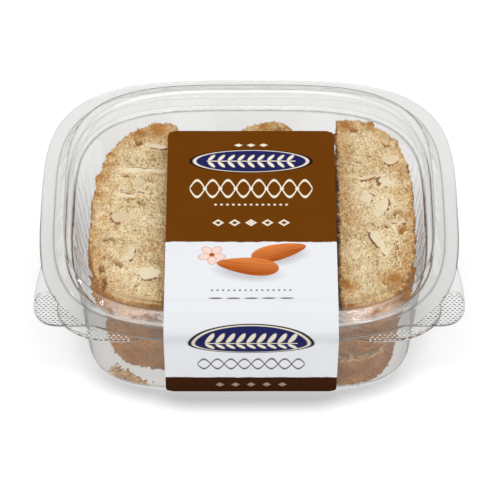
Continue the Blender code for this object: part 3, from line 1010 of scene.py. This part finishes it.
def biscotti_material(props):
    """Twice-baked biscotti: dry granular crumb with open pores, darker where it was crust. Painted shade
    darkens the crumb between its grains, in its creases and hollows, and in small specks that stand for
    pores. The pores are drawn from 0.5 mm, coarser than the finest real ones, so that they show."""
    material, add = new_material("baked_biscotti_crumb")
    place = add("TexCoord", output="Object")
    patches = add("TexNoise", links={"Vector": place, "Scale": 1 / (9 * MM), "Detail": 3.0})
    grainy = {"Vector": place, "Scale": 1 / (1.15 * MM), "Randomness": 1.0}
    grains = add("TexVoronoi", links=grainy, output="Distance")
    fine = {"Vector": place, "Scale": 1 / (0.9 * MM), "Detail": 2.0, "Roughness": 0.6}
    specks = add("TexNoise", links=fine)
    toasted, depth, near_crust, painted_right_shade = (
        add("Attribute", attribute_name=name, output="Fac")
        for name in ("toasted", "depth", "gold", "painted_right_shade")
    )
    # Painted shade: the crumb and its gold darken between the grains, in patches.
    between = add("MapRange", grains, 0.25, 0.75, interpolation_type="SMOOTHSTEP")
    shade = add("MapRange", patches, 0.4, 0.7, 0.0, 0.9)
    mottle = add("Math", between, shade, 0.0, operation="MULTIPLY_ADD")
    crumb = add("Mix", links={0: mottle, 6: props.crumb, 7: props.crumb_painted_shade}, **COLOUR_MIX)
    tinge = add("Math", near_crust, 0.7, operation="MULTIPLY")
    golden = add("Mix", links={0: between, 6: props.gold, 7: linear("#B57B33")}, **COLOUR_MIX)
    crumb = add("Mix", links={0: tinge, 6: crumb, 7: golden}, **COLOUR_MIX)
    heat = add("Math", patches, 2.6, -0.95, operation="MULTIPLY_ADD")
    # Painted shade: the right slices' crust darkens by their share.
    heat = add("Math", heat, painted_right_shade, operation="ADD", use_clamp=True)
    crust = add("Mix", links={0: heat, 6: props.crust, 7: props.crust_dark}, **COLOUR_MIX)
    baked = add("Mix", links={0: toasted, 6: crumb, 7: crust}, **COLOUR_MIX)
    # Painted shade: creases and holes, by depth, and small specks for pores darken the colour.
    dots = add("MapRange", specks, 0.44, 0.34, 0.0, 0.8, interpolation_type="SMOOTHSTEP")
    painted_crease_shade = add("Math", depth, 0.85, operation="MULTIPLY")
    warm = add("Mix", links={0: painted_crease_shade, 6: baked, 7: linear("#B5883E")}, **COLOUR_MIX)
    painted_hole_shade = add("MapRange", depth, 0.55, 1.0, 0.0, 0.62)
    dark = add("Math", dots, painted_hole_shade, operation="MAXIMUM")
    skin = add("Mix", links={0: dark, 6: warm, 7: props.pore_shade}, **COLOUR_MIX)
    grit = add("TexNoise", links={"Vector": place, "Scale": 1 / (0.6 * MM), "Detail": 3.0})
    height = add("Math", grit, between, operation="SUBTRACT")
    bump = add("Bump", links={"Height": height, "Strength": 1.0, "Distance": 0.4 * MM})
    rough = add("MapRange", grit, 0.3, 0.7, 0.75, 0.95)
    finish = add(
        "BsdfPrincipled",
        links={"Base Color": skin, "Roughness": rough, "Specular IOR Level": 0.25, "Normal": bump},
    )
    add("OutputMaterial", finish)
    return material


class BISCOTTI_OT_slices(bpy.types.Operator):
    """Knead the nine slices, stacked three high in three columns"""

    bl_idname = "biscotti.slices"
    bl_label = "Slices"

    def execute(self, context):
        props = context.scene.biscotti_bake
        material = biscotti_material(props)
        for entry in SLICES:
            fine = entry[1] == 2 and entry[0] != "biscotti_top_middle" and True
            piece = sculpt_slice(props, entry, fine)
            piece.data.materials.clear()
            piece.data.materials.append(material)
            settle(piece, entry[0] + "_slice", "biscotti", entry[0])
        return {"FINISHED"}


def almond_material(props):
    """Baked almond: dense pale flesh, slightly waxy, with faint long grain, and thin dark
    wrinkled skin where it is left on."""
    material, add = new_material("baked_almond")
    place = add("TexCoord", output="Object")
    tone = add("Attribute", attribute_name="tone", output="Fac")
    skin = add("Attribute", attribute_name="skin", output="Fac")
    clouds = add("TexNoise", links={"Vector": place, "Scale": 1 / (2.2 * MM), "Detail": 3.0})
    wrinkles = add("TexNoise", links={"Vector": place, "Scale": 1 / (0.8 * MM), "Detail": 2.0})
    warm = add("Math", clouds, 0.5, tone, operation="MULTIPLY_ADD")
    flesh = add("Mix", links={0: warm, 6: props.nut, 7: linear("#D4BE98")}, **COLOUR_MIX)
    brown = add("Mix", links={0: wrinkles, 6: props.skin, 7: linear("#9A6B45")}, **COLOUR_MIX)
    left_on = add("Math", wrinkles, 0.8, skin, operation="MULTIPLY_ADD")
    left_on = add("MapRange", left_on, 0.75, 1.05)
    both = add("Mix", links={0: left_on, 6: flesh, 7: brown}, **COLOUR_MIX)
    bump = add("Bump", links={"Height": clouds, "Strength": 0.5, "Distance": 0.3 * MM})
    finish = add("BsdfPrincipled", links={"Base Color": both, "Roughness": 0.5, "Normal": bump})
    add("OutputMaterial", finish)
    return material


def add_chip(entry, number, material):
    """A sphere drawn out to an almond piece, its top pressed nearly flat where the loaf's
    knife passed, grooved where the nut is large, with skin kept along one side."""
    x, y, half, narrow, degrees, power, skin_way, tone = entry
    select_only()
    bpy.ops.mesh.primitive_uv_sphere_add(segments=48, ring_count=26, radius=1)
    chip = bpy.context.object
    places = points_of(chip)
    plan = np.hypot(places[:, 0], places[:, 1])
    turn = np.arctan2(places[:, 1], places[:, 0])
    stretch = (np.abs(np.cos(turn)) ** power + np.abs(np.sin(turn)) ** power) ** (-1 / power)
    taper = 1 - 0.22 * places[:, 0]
    reach_x = 1.06 * half * np.cos(turn) * stretch
    reach_y = 1.1 * narrow * np.sin(turn) * stretch * taper
    places[:, 0] = reach_x * plan
    places[:, 1] = reach_y * plan
    places += 0.18 * noise_at(places + number, 1.6)[:, None]
    knife = 1.1 + 0.16 * noise_at(places + number, 2.6)
    if narrow > 4.2:
        knife -= 0.5 * np.exp(-((places[:, 1] / 0.35 - 0.8 * places[:, 0] / half) ** 2))
    rise = (knife - 2.2 * places[:, 2]) / 0.14
    places[:, 2] = knife - 0.14 * np.logaddexp(0, rise)
    inward = (1 - plan / 0.87) * np.hypot(reach_x, reach_y)
    facing = np.cos(turn + math.radians(degrees) - math.radians(skin_way))
    band = 1 + 0.9 * max(0.0, math.sin(math.radians(skin_way)))
    skin = ease(0.1, 0.6, facing) * (1 - ease(0.5 * band, band, inward))
    places[:, :2] = places[:, :2] @ spin(degrees).T
    move_points(chip, places * MM + np.array((x * MM, y * MM, TOP_FACE - CHIP_DEPTH)))
    chip.data.materials.append(material)
    store(chip, "tone", np.full(len(chip.data.vertices), tone * 0.8))
    store(chip, "skin", skin)
    smooth(chip)
    return chip


class BISCOTTI_OT_almonds(bpy.types.Operator):
    """Set the almond chips into the cut faces of the top slices"""

    bl_idname = "biscotti.almonds"
    bl_label = "Almonds"

    def execute(self, context):
        props = context.scene.biscotti_bake
        material = almond_material(props)
        for number, entry in enumerate(itertools.chain(*CHIPS.values())):
            chip = add_chip(entry, number, material)
            settle(chip, f"almond_chip_{number:02d}", "biscotti")
        return {"FINISHED"}


def resting_height(x, y):
    """In mm, the height of the tub's floor, or of the curve round it, below a place, and how
    far in from the foot's edge that place is."""
    across = abs(x * MM) / (RIM_HALF_X - FOOT_NARROWING - FOOT_INSET)
    along = abs(y * MM - CENTRE_Y) / (RIM_HALF_Y - FOOT_INSET)
    share = (across**FOOT_SQUARENESS + along**FOOT_SQUARENESS) ** (1 / FOOT_SQUARENESS)
    inward = (1 - share) * (RIM_HALF_Y - FOOT_INSET)
    up = max(FOOT_RADIUS - inward, 0.0)
    return (FOOT_RADIUS - math.sqrt(max(FOOT_RADIUS**2 - up**2, 0.0))) / MM, inward / MM


def crumb_spots(picker):
    """Where the loose crumbs lie: a spill in the tub's front left corner and a few more along
    its front. Each is a place and a size in mm."""
    spots = []
    while len(spots) < CRUMBS:
        spill = len(spots) < SPILLED
        if spill:
            share = picker.random() ** 1.1
            x = -60.0 + 16.5 * share + picker.gauss(0, 1.2)
            y = -54.5 - 11.5 * share + picker.gauss(0, 2.0 - 1.2 * share)
            size = picker.uniform(0.35, 1.25)
        else:
            x, y, size = picker.uniform(-64, 64), picker.uniform(-66, -58), picker.uniform(0.4, 1.1)
        height, inward = resting_height(x, y)
        if inward < 1.1 + 0.5 * size:
            continue
        heap = picker.random() ** 1.5 * 4.6 * (1 - abs(1.7 * share - 0.7)) if spill else 0.0
        spots.append((x, y, 0.4 + height + 0.5 * size + heap, size))
    return spots


class BISCOTTI_OT_crumbs(bpy.types.Operator):
    """Spill loose crumbs on the tub's floor"""

    bl_idname = "biscotti.crumbs"
    bl_label = "Crumbs"

    def execute(self, context):
        props = context.scene.biscotti_bake
        picker = random.Random(11)
        select_only()
        bpy.ops.mesh.primitive_ico_sphere_add(subdivisions=2, radius=0.5)
        lump = context.object
        rough = points_of(lump)
        template = lump.data
        bpy.data.objects.remove(lump)
        template.materials.append(bpy.data.materials["baked_biscotti_crumb"])
        copies = []
        for number, (x, y, z, size) in enumerate(crumb_spots(picker)):
            crumb = bpy.data.objects.new("crumb", template.copy())
            form = rough * (1 + 0.8 * noise_at(rough + number, 0.4)[:, None])
            move_points(crumb, form * np.array([picker.uniform(0.6, 1.35) for _ in range(3)]))
            count = len(rough)
            store(crumb, "toasted", np.full(count, 0.6 * picker.random() ** 6))
            store(crumb, "depth", np.zeros(count))
            store(crumb, "gold", np.full(count, picker.uniform(0.5, 1.0)))
            crumb.location = (x * MM, y * MM, z * MM)
            crumb.scale = (size * MM,) * 3
            crumb.rotation_euler = [picker.uniform(0, math.tau) for _ in range(3)]
            context.scene.collection.objects.link(crumb)
            copies.append(crumb)
        crumbs = joined(copies)
        smooth(crumbs, 25)
        settle(crumbs, "loose_crumbs", "biscotti")
        return {"FINISHED"}


def label_path():
    """Side view (y, z) of the label's outer face: over the panel and ridge, creased there,
    slanting to the flange's edge and straight down to the foot."""
    on_panel = LID_TOP - LID_PANEL_DROP + 0.5 * MM
    on_ridge = LABEL_HIGH.z - 0.1 * MM
    edge_y = LABEL_LOW.y
    ridge_front = CENTRE_Y + LID_SHOULDER_INSET - RIM_HALF_Y
    ridge_back = ridge_front + LID_RIDGE_WIDTH + 2.0 * MM
    under = FLANGE_TOP - 0.6 * MM
    foot = Vector((edge_y + FOOT_INSET, LABEL_LOW.z))
    corners = (
        Vector((LABEL_HIGH.y, on_panel)),
        Vector((ridge_back + 4 * LID_PANEL_DROP, on_panel)),
        Vector((ridge_back, on_ridge)),
        Vector((ridge_front - 0.6 * MM, on_ridge)),
        Vector((edge_y, on_ridge - 4.2 * MM)),
        Vector((edge_y, under)),
        foot,
    )
    path = [corners[0]]
    for before, corner, after, bend in zip(corners, corners[1:], corners[2:], LABEL_BENDS):
        back = (before - corner).normalized() * bend
        forward = (after - corner).normalized() * bend
        path += [corner + back * (1 - k / 6) ** 2 + forward * (k / 6) ** 2 for k in range(7)]
    path.append(foot)
    return path


def along_path(path, spacing):
    """Points at even steps along the path, each with its distance from the start and the
    outward direction there."""
    spans = [(after - before).length for before, after in zip(path, path[1:])]
    distances = np.concatenate(((0,), np.cumsum(spans)))
    count = round(distances[-1] / spacing)
    wanted = np.linspace(0, distances[-1], count + 1)
    flat = np.array([tuple(point) for point in path])
    places = np.stack([np.interp(wanted, distances, flat[:, axis]) for axis in (0, 1)], axis=1)
    slope = np.gradient(places, axis=0)
    slope /= np.linalg.norm(slope, axis=1, keepdims=True)
    outward = np.stack((slope[:, 1], -slope[:, 0]), axis=1)
    return wanted, places, outward


def motif(add, place, centre, half, degrees=0.0, lozenge=False):
    """A measure that is 1 on a motif's edge and less inside it: an oval, or a lozenge."""
    spot, turn, size = (*centre, 0.0), (0.0, 0.0, math.radians(degrees)), (*half, 1.0)
    local = add("Mapping", place, spot, turn, size, vector_type="TEXTURE")
    if not lozenge:
        return add("VectorMath", local, operation="LENGTH", output="Value")
    size = add("VectorMath", local, operation="ABSOLUTE")
    corner = (1.0, 1.0, 0.0)
    return add("VectorMath", size, corner, operation="DOT_PRODUCT", output="Value")


def ink(add, below, measure, colour, soft=0.016, edge=1.0):
    """Print one ink over what lies below, where a motif's measure is less than its edge."""
    share = add("MapRange", measure, edge + soft, edge - soft)
    return add("Mix", links={0: share, 6: below, 7: colour}, **COLOUR_MIX)


def within(add, measure, place, centre, half_span):
    """A motif's measure, pushed past its edge beyond that far from the middle of its row."""
    reach = motif(add, place, centre, (half_span, 1000.0))
    beyond = add("MapRange", reach, 0.99, 1.01, 0.0, 3.0)
    return add("Math", measure, beyond, operation="MAXIMUM")


def in_a_row(add, place, centre, pitch):
    """Coordinates that start again at every step of a row."""
    local = add("Mapping", place, (*centre, 0.0), vector_type="TEXTURE")
    low, high = (-pitch / 2, -1000.0, -1.0), (pitch / 2, 1000.0, 1.0)
    return add("VectorMath", local, high, low, operation="WRAP")


def row_of(add, place, centre, pitch, count, half, lozenge):
    """A measure for an odd count of small motifs in a row."""
    cell = in_a_row(add, place, centre, pitch)
    measure = motif(add, cell, (0, 0), half, 0.0, lozenge)
    return within(add, measure, place, centre, pitch * count / 2)


def sprig(add, place, centre, pitch, count, leaf_half):
    """A stem with paired slanting leaves, as a wheat ear lying down."""
    cell = in_a_row(add, place, centre, pitch)
    along, aside, _ = add("SeparateXYZ", cell).node.outputs
    rise = add("Math", aside, operation="ABSOLUTE")
    mirrored = add("CombineXYZ", along, rise, 0.0)
    leaf = motif(add, mirrored, (0.0, 0.95 * leaf_half[0]), leaf_half, 52)
    stem = add("Math", rise, 0.3, operation="DIVIDE")
    either = add("Math", leaf, stem, operation="MINIMUM")
    return within(add, either, place, centre, pitch * count / 2)


def braid(add, place, centre, wavelength, swing, half_line, half_span):
    """Two crossing waves, as a plait of dough."""
    local = add("Mapping", place, (*centre, 0.0), vector_type="TEXTURE")
    along, aside, _ = add("SeparateXYZ", local).node.outputs
    angle = add("Math", along, math.tau / wavelength, operation="MULTIPLY")
    wave = add("Math", angle, operation="SINE")
    strands = []
    for side in (-swing, swing):
        strand = add("Math", wave, side, aside, operation="MULTIPLY_ADD")
        strands.append(add("Math", strand, operation="ABSOLUTE"))
    nearer = add("Math", *strands, operation="MINIMUM")
    line = add("Math", nearer, half_line, operation="DIVIDE")
    return within(add, line, place, centre, half_span)


def medallion(add, below, place, centre, half, props):
    """A navy oval with a dark rim, a cream keyline and a cream sprig."""
    field = motif(add, place, centre, half)
    for colour, edge in ((linear("#1C1518"), 1.0), (props.cream, 0.94), (props.navy, 0.89)):
        below = ink(add, below, field, colour, edge=edge)
    leaves = sprig(add, place, centre, 4.4, 9, (0.3 * half[1], 0.11 * half[1]))
    return ink(add, below, leaves, props.cream, 0.15)


def printed_almond(add, below, place, centre, half, degrees, props):
    """An almond in its skin: a pointed drop, lit from above, with long darker grooves."""
    cast = motif(add, place, (centre[0], centre[1] + 0.75 * half[1]), half, degrees)
    shade = add("MapRange", cast, 1.25, 0.6, 0.0, 0.35)
    below = add("Mix", links={0: shade, 6: below, 7: props.grey}, **COLOUR_MIX)
    spot, turn, size = (*centre, 0.0), (0.0, 0.0, math.radians(degrees)), (*half, 1.0)
    local = add("Mapping", place, spot, turn, size, vector_type="TEXTURE")
    along, aside, _ = add("SeparateXYZ", local).node.outputs
    widening = add("Math", along, 0.3, 1.0, operation="MULTIPLY_ADD")
    plump = add("Math", aside, widening, operation="DIVIDE")
    drop = motif(add, add("CombineXYZ", along, plump, 0.0), (0, 0), (1, 1))
    long_grain = {"Vector": local, "Scale": (1.4, 0.13, 1.0)}
    stretched = add("Mapping", links=long_grain, vector_type="TEXTURE")
    grooves = add("TexNoise", links={"Vector": stretched, "Scale": 1.0, "Detail": 3.0})
    lit_side = -0.3 if degrees < 90 else 0.3
    light = add("Math", plump, lit_side, grooves, operation="MULTIPLY_ADD")
    tone = add("MapRange", light, 0.2, 0.8)
    body = add("Mix", links={0: tone, 6: linear("#8E3A0C"), 7: linear("#EE9450")}, **COLOUR_MIX)
    body = add("Mix", links={0: 0.35, 6: body, 7: props.almond}, **COLOUR_MIX)
    return ink(add, below, drop, body)


def blossom(add, below, place, centre, size):
    """A five-petalled almond blossom."""
    for petal in range(5):
        angle = math.tau * petal / 5 + 0.3
        x = centre[0] + 0.62 * size * math.cos(angle)
        y = centre[1] + 0.62 * size * math.sin(angle)
        leaf = motif(add, place, (x, y), (0.5 * size, 0.36 * size), math.degrees(angle))
        below = ink(add, below, leaf, linear("#D99A86"), 0.06)
        below = ink(add, below, leaf, linear("#F3D9CD"), 0.12, edge=0.86)
    heart = motif(add, place, centre, (0.2 * size, 0.2 * size))
    return ink(add, below, heart, linear("#B5581D"), 0.1)


def label_material(props, total):
    """Coated label paper, offset printed: flat inks with a low sheen, faint fibre and slight
    mottling. The fibre is drawn at 0.7 mm, coarser than real, so that it shows."""
    material, add = new_material("coated_label_paper")
    uv = add("UVMap", uv_map="print")
    side = MM / UV_METRES
    in_mm = {"Vector": uv, "Location": (0.5, 0.0, 0.0), "Scale": (side, side, 1.0)}
    place = add("Mapping", links=in_mm, vector_type="TEXTURE")
    _, along, _ = add("SeparateXYZ", place).node.outputs
    end = total / MM
    rags = {"Vector": place, "Scale": 0.16, "Detail": 4.0, "Roughness": 0.65}
    wander = add("TexNoise", links=rags)
    torn = add("Math", wander, 1.8, along, operation="MULTIPLY_ADD")
    mottle = add("TexNoise", links={"Vector": place, "Scale": 0.05, "Detail": 2.0})
    worn = add("MapRange", mottle, 0.3, 0.7, 0.0, 0.12)
    brown = add("Mix", links={0: worn, 6: props.brown, 7: linear("#7C4A1C")}, **COLOUR_MIX)
    white = add("Mix", links={0: worn, 6: props.paper, 7: linear("#D9DADD")}, **COLOUR_MIX)
    cream, grey = props.cream, props.grey

    # Fields, by where each one starts down the label.
    sheet = brown
    for start, field in ((LABEL_WHITE_FROM, white), (end - LABEL_FOOT_BAND, props.foot)):
        share = add("MapRange", torn, start, start + 0.3)
        sheet = add("Mix", links={0: share, 6: sheet, 7: field}, **COLOUR_MIX)
    for down, half in ((20.2, (27.5, 7.8)), (end - 50.5, (27.0, 9.6))):
        sheet = medallion(add, sheet, place, (0, down), half, props)
    # Braids: how far down, wavelength, swing, half a line, half the length, ink, softness.
    for down, wavelength, swing, line, span, tone, soft in (
        (38.2, 13.6, 5.4, 0.8, 27.2, cream, 0.25),
        (end - 29.5, 11.6, 5.0, 0.85, 23.2, grey, 0.25),
    ):
        plait = braid(add, place, (0, down), wavelength, swing, line, span)
        sheet = ink(add, sheet, plait, tone, soft)
    # Rows of small motifs: how far down, pitch, count, half size, lozenge, ink, softness.
    for down, pitch, count, half, lozenge, tone, soft in (
        (9.6, 5.6, 3, (2.0, 1.1), True, cream, 0.12),
        (38.2, 6.8, 7, (0.9, 0.9), False, cream, 0.2),
        (48.6, 2.6, 13, (0.6, 0.6), False, cream, 0.3),
        (60.2, 7.2, 5, (2.6, 2.2), True, cream, 0.1),
        (60.2, 7.2, 5, (1.3, 1.1), True, brown, 0.2),
        (60.2, 43.2, 3, (0.8, 0.8), False, cream, 0.2),
        (102.4, 2.4, 15, (0.5, 0.5), False, grey, 0.3),
        (107.6, 7.6, 5, (3.0, 0.6), False, grey, 0.2),
        (end - 7.6, 6.8, 5, (1.9, 2.2), True, linear("#A8937A"), 0.15),
    ):
        row = row_of(add, place, (0, down), pitch, count, half, lozenge)
        sheet = ink(add, sheet, row, tone, soft)
    sheet = blossom(add, sheet, place, (-17.0, 80.5), 5.6)
    sheet = printed_almond(add, sheet, place, (12.0, 78.6), (12.4, 4.9), 162, props)
    sheet = printed_almond(add, sheet, place, (-1.5, 87.4), (13.6, 5.2), 8, props)

    fibre = add("TexNoise", links={"Vector": place, "Scale": 1.4, "Detail": 3.0})
    bump = add("Bump", links={"Height": fibre, "Strength": 0.12, "Distance": 0.1 * MM})
    sheen = add("MapRange", fibre, 0.3, 0.7, 0.38, 0.5)
    finish = add(
        "BsdfPrincipled",
        links={"Base Color": sheet, "Roughness": sheen, "Specular IOR Level": 0.02, "Normal": bump},
    )
    add("OutputMaterial", finish)
    return material


class BISCOTTI_OT_label(bpy.types.Operator):
    """Lay the paper label band over the lid, the front rim and the front wall"""

    bl_idname = "biscotti.label"
    bl_label = "Label"

    def execute(self, context):
        props = context.scene.biscotti_print
        distances, path, outward = along_path(label_path(), LABEL_STEP)
        rows = len(distances)
        select_only()
        bpy.ops.mesh.primitive_grid_add(
            x_subdivisions=LABEL_COLUMNS, y_subdivisions=rows - 1, size=2.0, calc_uvs=True
        )
        label = bpy.context.object
        flat = points_of(label)
        across = flat[:, 0]
        row = np.rint((1 - flat[:, 1]) / 2 * (rows - 1)).astype(int)
        ends = np.minimum(distances[row], distances[-1] - distances[row])
        inside = np.maximum(0, LABEL_CORNER - ends)
        half = LABEL_HALF_WIDTH - LABEL_CORNER + np.sqrt(LABEL_CORNER**2 - inside**2)
        x = across * half
        ripple = LABEL_RIPPLE * noise_at(np.column_stack((x, distances[row], 0 * x)), 22 * MM)
        dent_x, dent_up = x - LABEL_DENT[0], distances[-1] - distances[row] - LABEL_DENT[1]
        ripple -= LABEL_DENT_DEPTH * np.exp(-(np.hypot(dent_x, dent_up) / LABEL_DENT_REACH) ** 2)
        y = path[row, 0] + outward[row, 0] * ripple
        z = path[row, 1] + outward[row, 1] * ripple
        move_points(label, np.column_stack((LABEL_OFF_CENTRE + x, y, z)))
        uv = label.data.uv_layers[0]
        uv.name = "print"
        corner_points = np.empty(len(label.data.loops), int)
        label.data.loops.foreach_get("vertex_index", corner_points)
        spread = np.column_stack((0.5 + x / UV_METRES, distances[row] / UV_METRES))[corner_points]
        uv.data.foreach_set("uv", spread.astype(np.float32).ravel())
        apply_modifier(label, "SOLIDIFY", thickness=LABEL_THICKNESS, offset=-1.0)
        smooth(label, 60)
        label.data.materials.append(label_material(props, distances[-1]))
        settle(label, "label_band", "label_paper", "label")
        return {"FINISHED"}


def sweep_material(props):
    """Matt white paper with a painted shadow: ambient occlusion darkens its glow and colour at the tub's
    foot, most in front, and painted light lifts it again under the middle of the tub. With no gloss, the
    eye sees nothing else on it."""
    material, add = new_material("matte_white_sweep_painted_shadow")
    # Painted shadow: the sweep's glow and colour fall with ambient occlusion near the tub.
    near = add("AmbientOcclusion", links={"Distance": 14 * MM}, output="AO", samples=8)
    wide = add("AmbientOcclusion", links={"Distance": 80 * MM}, output="AO", samples=8)
    place = add("TexCoord", output="Object")
    _, back, _ = add("SeparateXYZ", place).node.outputs
    ahead = add("MapRange", back, -48 * MM, -66 * MM)
    behind = add("Math", 1.0, ahead, operation="SUBTRACT")
    painted_contact_shadow = add("MapRange", near, 0.92, 0.5, 0.0, 0.48)
    share = add("MapRange", ahead, 0.0, 1.0, 0.3, 1.0)
    painted_contact_shadow = add("Math", painted_contact_shadow, share, operation="MULTIPLY")
    # Painted light: under the tub's middle the sweep is lifted again.
    beneath = add("MapRange", near, 0.35, 0.05, 0.0, 0.29)
    painted_light_under_tub = add("Math", beneath, ahead, operation="MULTIPLY")
    painted_wide_shadow = add("MapRange", wide, 1.0, 0.5, 0.0, 0.17)
    painted_wide_shadow = add("Math", painted_wide_shadow, behind, operation="MULTIPLY")
    painted_shadow_level = add("Math", 1.0, painted_contact_shadow, operation="SUBTRACT")
    painted_shadow_level = add("Math", painted_shadow_level, painted_light_under_tub, operation="ADD")
    painted_shadow_level = add("Math", painted_shadow_level, painted_wide_shadow, operation="SUBTRACT")
    # Mirrored in the tub's wall, a white floor would veil the food: it counts for less
    glossy = add("LightPath", output="Is Glossy Ray")
    turned = add("LightPath", output="Is Reflection Ray")
    mirrored = add("Math", glossy, turned, operation="MULTIPLY")
    kept = add("Math", mirrored, -0.7, 1.0, operation="MULTIPLY_ADD")
    painted_shadow_level = add("Math", painted_shadow_level, kept, operation="MULTIPLY")
    glow = add("Math", painted_shadow_level, props.floor_glow, operation="MULTIPLY")
    tone = add("Mix", links={0: painted_shadow_level, 6: (0.0, 0.0, 0.0), 7: props.floor}, **COLOUR_MIX)
    white = {"Emission Color": (1.0, 1.0, 1.0), "Emission Strength": glow}
    finish = add("BsdfPrincipled", links={"Base Color": tone, "Roughness": 0.9, **white})
    add("OutputMaterial", finish)
    return material


def hang_dome(scene, props):
    """A white dome. Matt surfaces get less of it from the front and glossy ones less from the
    back. A low glow in front shows only in gloss: it gives the haze on the lid's front wall."""
    scene.world = bpy.data.worlds.new("white_dome")
    scene.world.use_nodes = True
    scene.world.node_tree.nodes.clear()
    add = functools.partial(add_node, scene.world.node_tree)
    way = add("TexCoord", output="Generated")
    _, back, up = add("SeparateXYZ", way).node.outputs
    sky = add("MapRange", up, 0.2, 0.85, 0.5, 1.2)
    front = add("MapRange", back, -0.2, -0.8)
    behind = add("MapRange", back, 0.0, 0.5)
    low = add("MapRange", up, 0.6, 0.42)
    lifted = add("MapRange", up, 0.3, 0.37)
    low = add("Math", low, lifted, operation="MULTIPLY")
    matt = add("LightPath", output="Is Diffuse Ray")
    for_matt = add("Math", front, -0.85, 1.0, operation="MULTIPLY_ADD")
    for_gloss = add("Math", behind, -0.75, 1.0, operation="MULTIPLY_ADD")
    share = add("Mix", data_type="FLOAT", links={0: matt, 2: for_gloss, 3: for_matt})
    sky = add("Math", sky, share, operation="MULTIPLY")
    glow = add("Math", front, low, operation="MULTIPLY")
    strong = add("Math", matt, -6.6, 6.6, operation="MULTIPLY_ADD")
    dim = add("Math", glow, strong, sky, operation="MULTIPLY_ADD")
    seen = add("LightPath", output="Is Camera Ray")
    level = add("Mix", data_type="FLOAT", links={0: seen, 2: dim, 3: 2.0})
    light = add("Math", level, props.dome, operation="MULTIPLY")
    add("OutputWorld", add("Background", (1, 1, 1), light))


def hang_lamps(scene, props):
    """The key softbox, and small lamps that only show mirrored in the plastic."""
    lamps = (
        ("key_softbox", (0.12, -0.2, 1.35), 1.1, 1.1, props.softbox, False),
        ("window_lamp", (0.06, -0.02, 1.3), 0.05, 0.12, 0.03 * props.softbox, True),
        ("left_lamp", (-1.12, -0.75, 0.46), 0.07, 0.05, 0.02 * props.softbox, True),
        ("left_strip", (-1.3, 0.1, 0.5), 0.06, 0.5, 0.1 * props.softbox, True),
        ("right_lamp", (1.12, -0.75, 0.42), 0.09, 0.05, 0.02 * props.softbox, True),
        ("front_right_lamp", (0.6, -1.1, 0.6), 0.3, 0.02, 0.02 * props.softbox, True),
    )
    for name, place, size_x, size_y, power, mirrored in lamps:
        lamp = bpy.data.lights.new(name, "AREA")
        lamp.shape = "RECTANGLE"
        lamp.size = size_x
        lamp.size_y = size_y
        lamp.energy = power
        holder = bpy.data.objects.new(name, lamp)
        holder.location = place
        holder.rotation_euler = (RIM_MIDDLE - Vector(place)).to_track_quat("-Z", "Y").to_euler()
        holder.visible_camera = False
        holder.visible_glossy = mirrored
        holder.visible_diffuse = not mirrored
        scene.collection.objects.link(holder)


def set_camera(scene, props):
    """The photograph's camera, turned so that the rim's middle falls on its own pixel."""
    camera = bpy.data.cameras.new("camera")
    camera.sensor_width = 36.0
    camera.lens = FOCAL_PIXELS / PHOTO_SIDE * camera.sensor_width
    camera.clip_start = 0.05
    camera.clip_end = 50
    holder = bpy.data.objects.new("camera", camera)
    scene.collection.objects.link(holder)
    lift = props.elevation
    holder.location = RIM_MIDDLE + props.distance * Vector((0, -math.cos(lift), math.sin(lift)))
    side, down = (math.atan2(PHOTO_SIDE / 2 - pixel, FOCAL_PIXELS) for pixel in RIM_PIXEL)
    holder.rotation_euler = (math.pi / 2 - lift - down, 0, -side)
    scene.camera = holder


class BISCOTTI_OT_stage(bpy.types.Operator):
    """Lay the pale sweep, hang the soft studio light and set the camera"""

    bl_idname = "biscotti.stage"
    bl_label = "Stage"

    def execute(self, context):
        props = context.scene.biscotti_studio
        context.scene.view_settings.view_transform = "Standard"
        select_only()
        bpy.ops.mesh.primitive_plane_add(size=2.2, location=(0, 0, -0.05 * MM))
        floor = context.object
        floor.name = "floor"
        floor.data.materials.append(sweep_material(props))
        hang_dome(context.scene, props)
        hang_lamps(context.scene, props)
        set_camera(context.scene, props)
        return {"FINISHED"}


class BISCOTTI_PT_panel(bpy.types.Panel):
    """All pieces of the tub in the 3D view's sidebar"""

    bl_label = "Biscotti tub"
    bl_idname = "BISCOTTI_PT_panel"
    bl_space_type = "VIEW_3D"
    bl_region_type = "UI"
    bl_category = "Biscotti tub"

    def draw(self, context):
        for operator in OPERATORS:
            self.layout.operator(operator.bl_idname)
        for group in GROUPS:
            box = self.layout.box()
            settings = getattr(context.scene, group)
            for name in settings.__annotations__:
                box.prop(settings, name)


GROUPS = {
    "biscotti_sheet": BiscottiTubSheet,
    "biscotti_bake": BiscottiBake,
    "biscotti_print": BiscottiLabelPrint,
    "biscotti_studio": BiscottiStudio,
}
OPERATORS = (
    BISCOTTI_OT_stage,
    BISCOTTI_OT_tub,
    BISCOTTI_OT_lid,
    BISCOTTI_OT_grips,
    BISCOTTI_OT_slices,
    BISCOTTI_OT_almonds,
    BISCOTTI_OT_crumbs,
    BISCOTTI_OT_label,
)


def register():
    for group in GROUPS.values():
        bpy.utils.register_class(group)
    for name, group in GROUPS.items():
        setattr(bpy.types.Scene, name, bpy.props.PointerProperty(type=group))
    for operator in OPERATORS:
        bpy.utils.register_class(operator)
    bpy.utils.register_class(BISCOTTI_PT_panel)


def unregister():
    bpy.utils.unregister_class(BISCOTTI_PT_panel)
    for operator in reversed(OPERATORS):
        bpy.utils.unregister_class(operator)
    for name in GROUPS:
        delattr(bpy.types.Scene, name)
    for group in reversed(list(GROUPS.values())):
        bpy.utils.unregister_class(group)


def main():
    register()
    bpy.ops.biscotti.stage()
    bpy.ops.biscotti.tub()
    bpy.ops.biscotti.lid()
    bpy.ops.biscotti.grips()
    bpy.ops.biscotti.slices()
    bpy.ops.biscotti.almonds()
    bpy.ops.biscotti.crumbs()
    bpy.ops.biscotti.label()


if __name__ == "__main__":
    main()
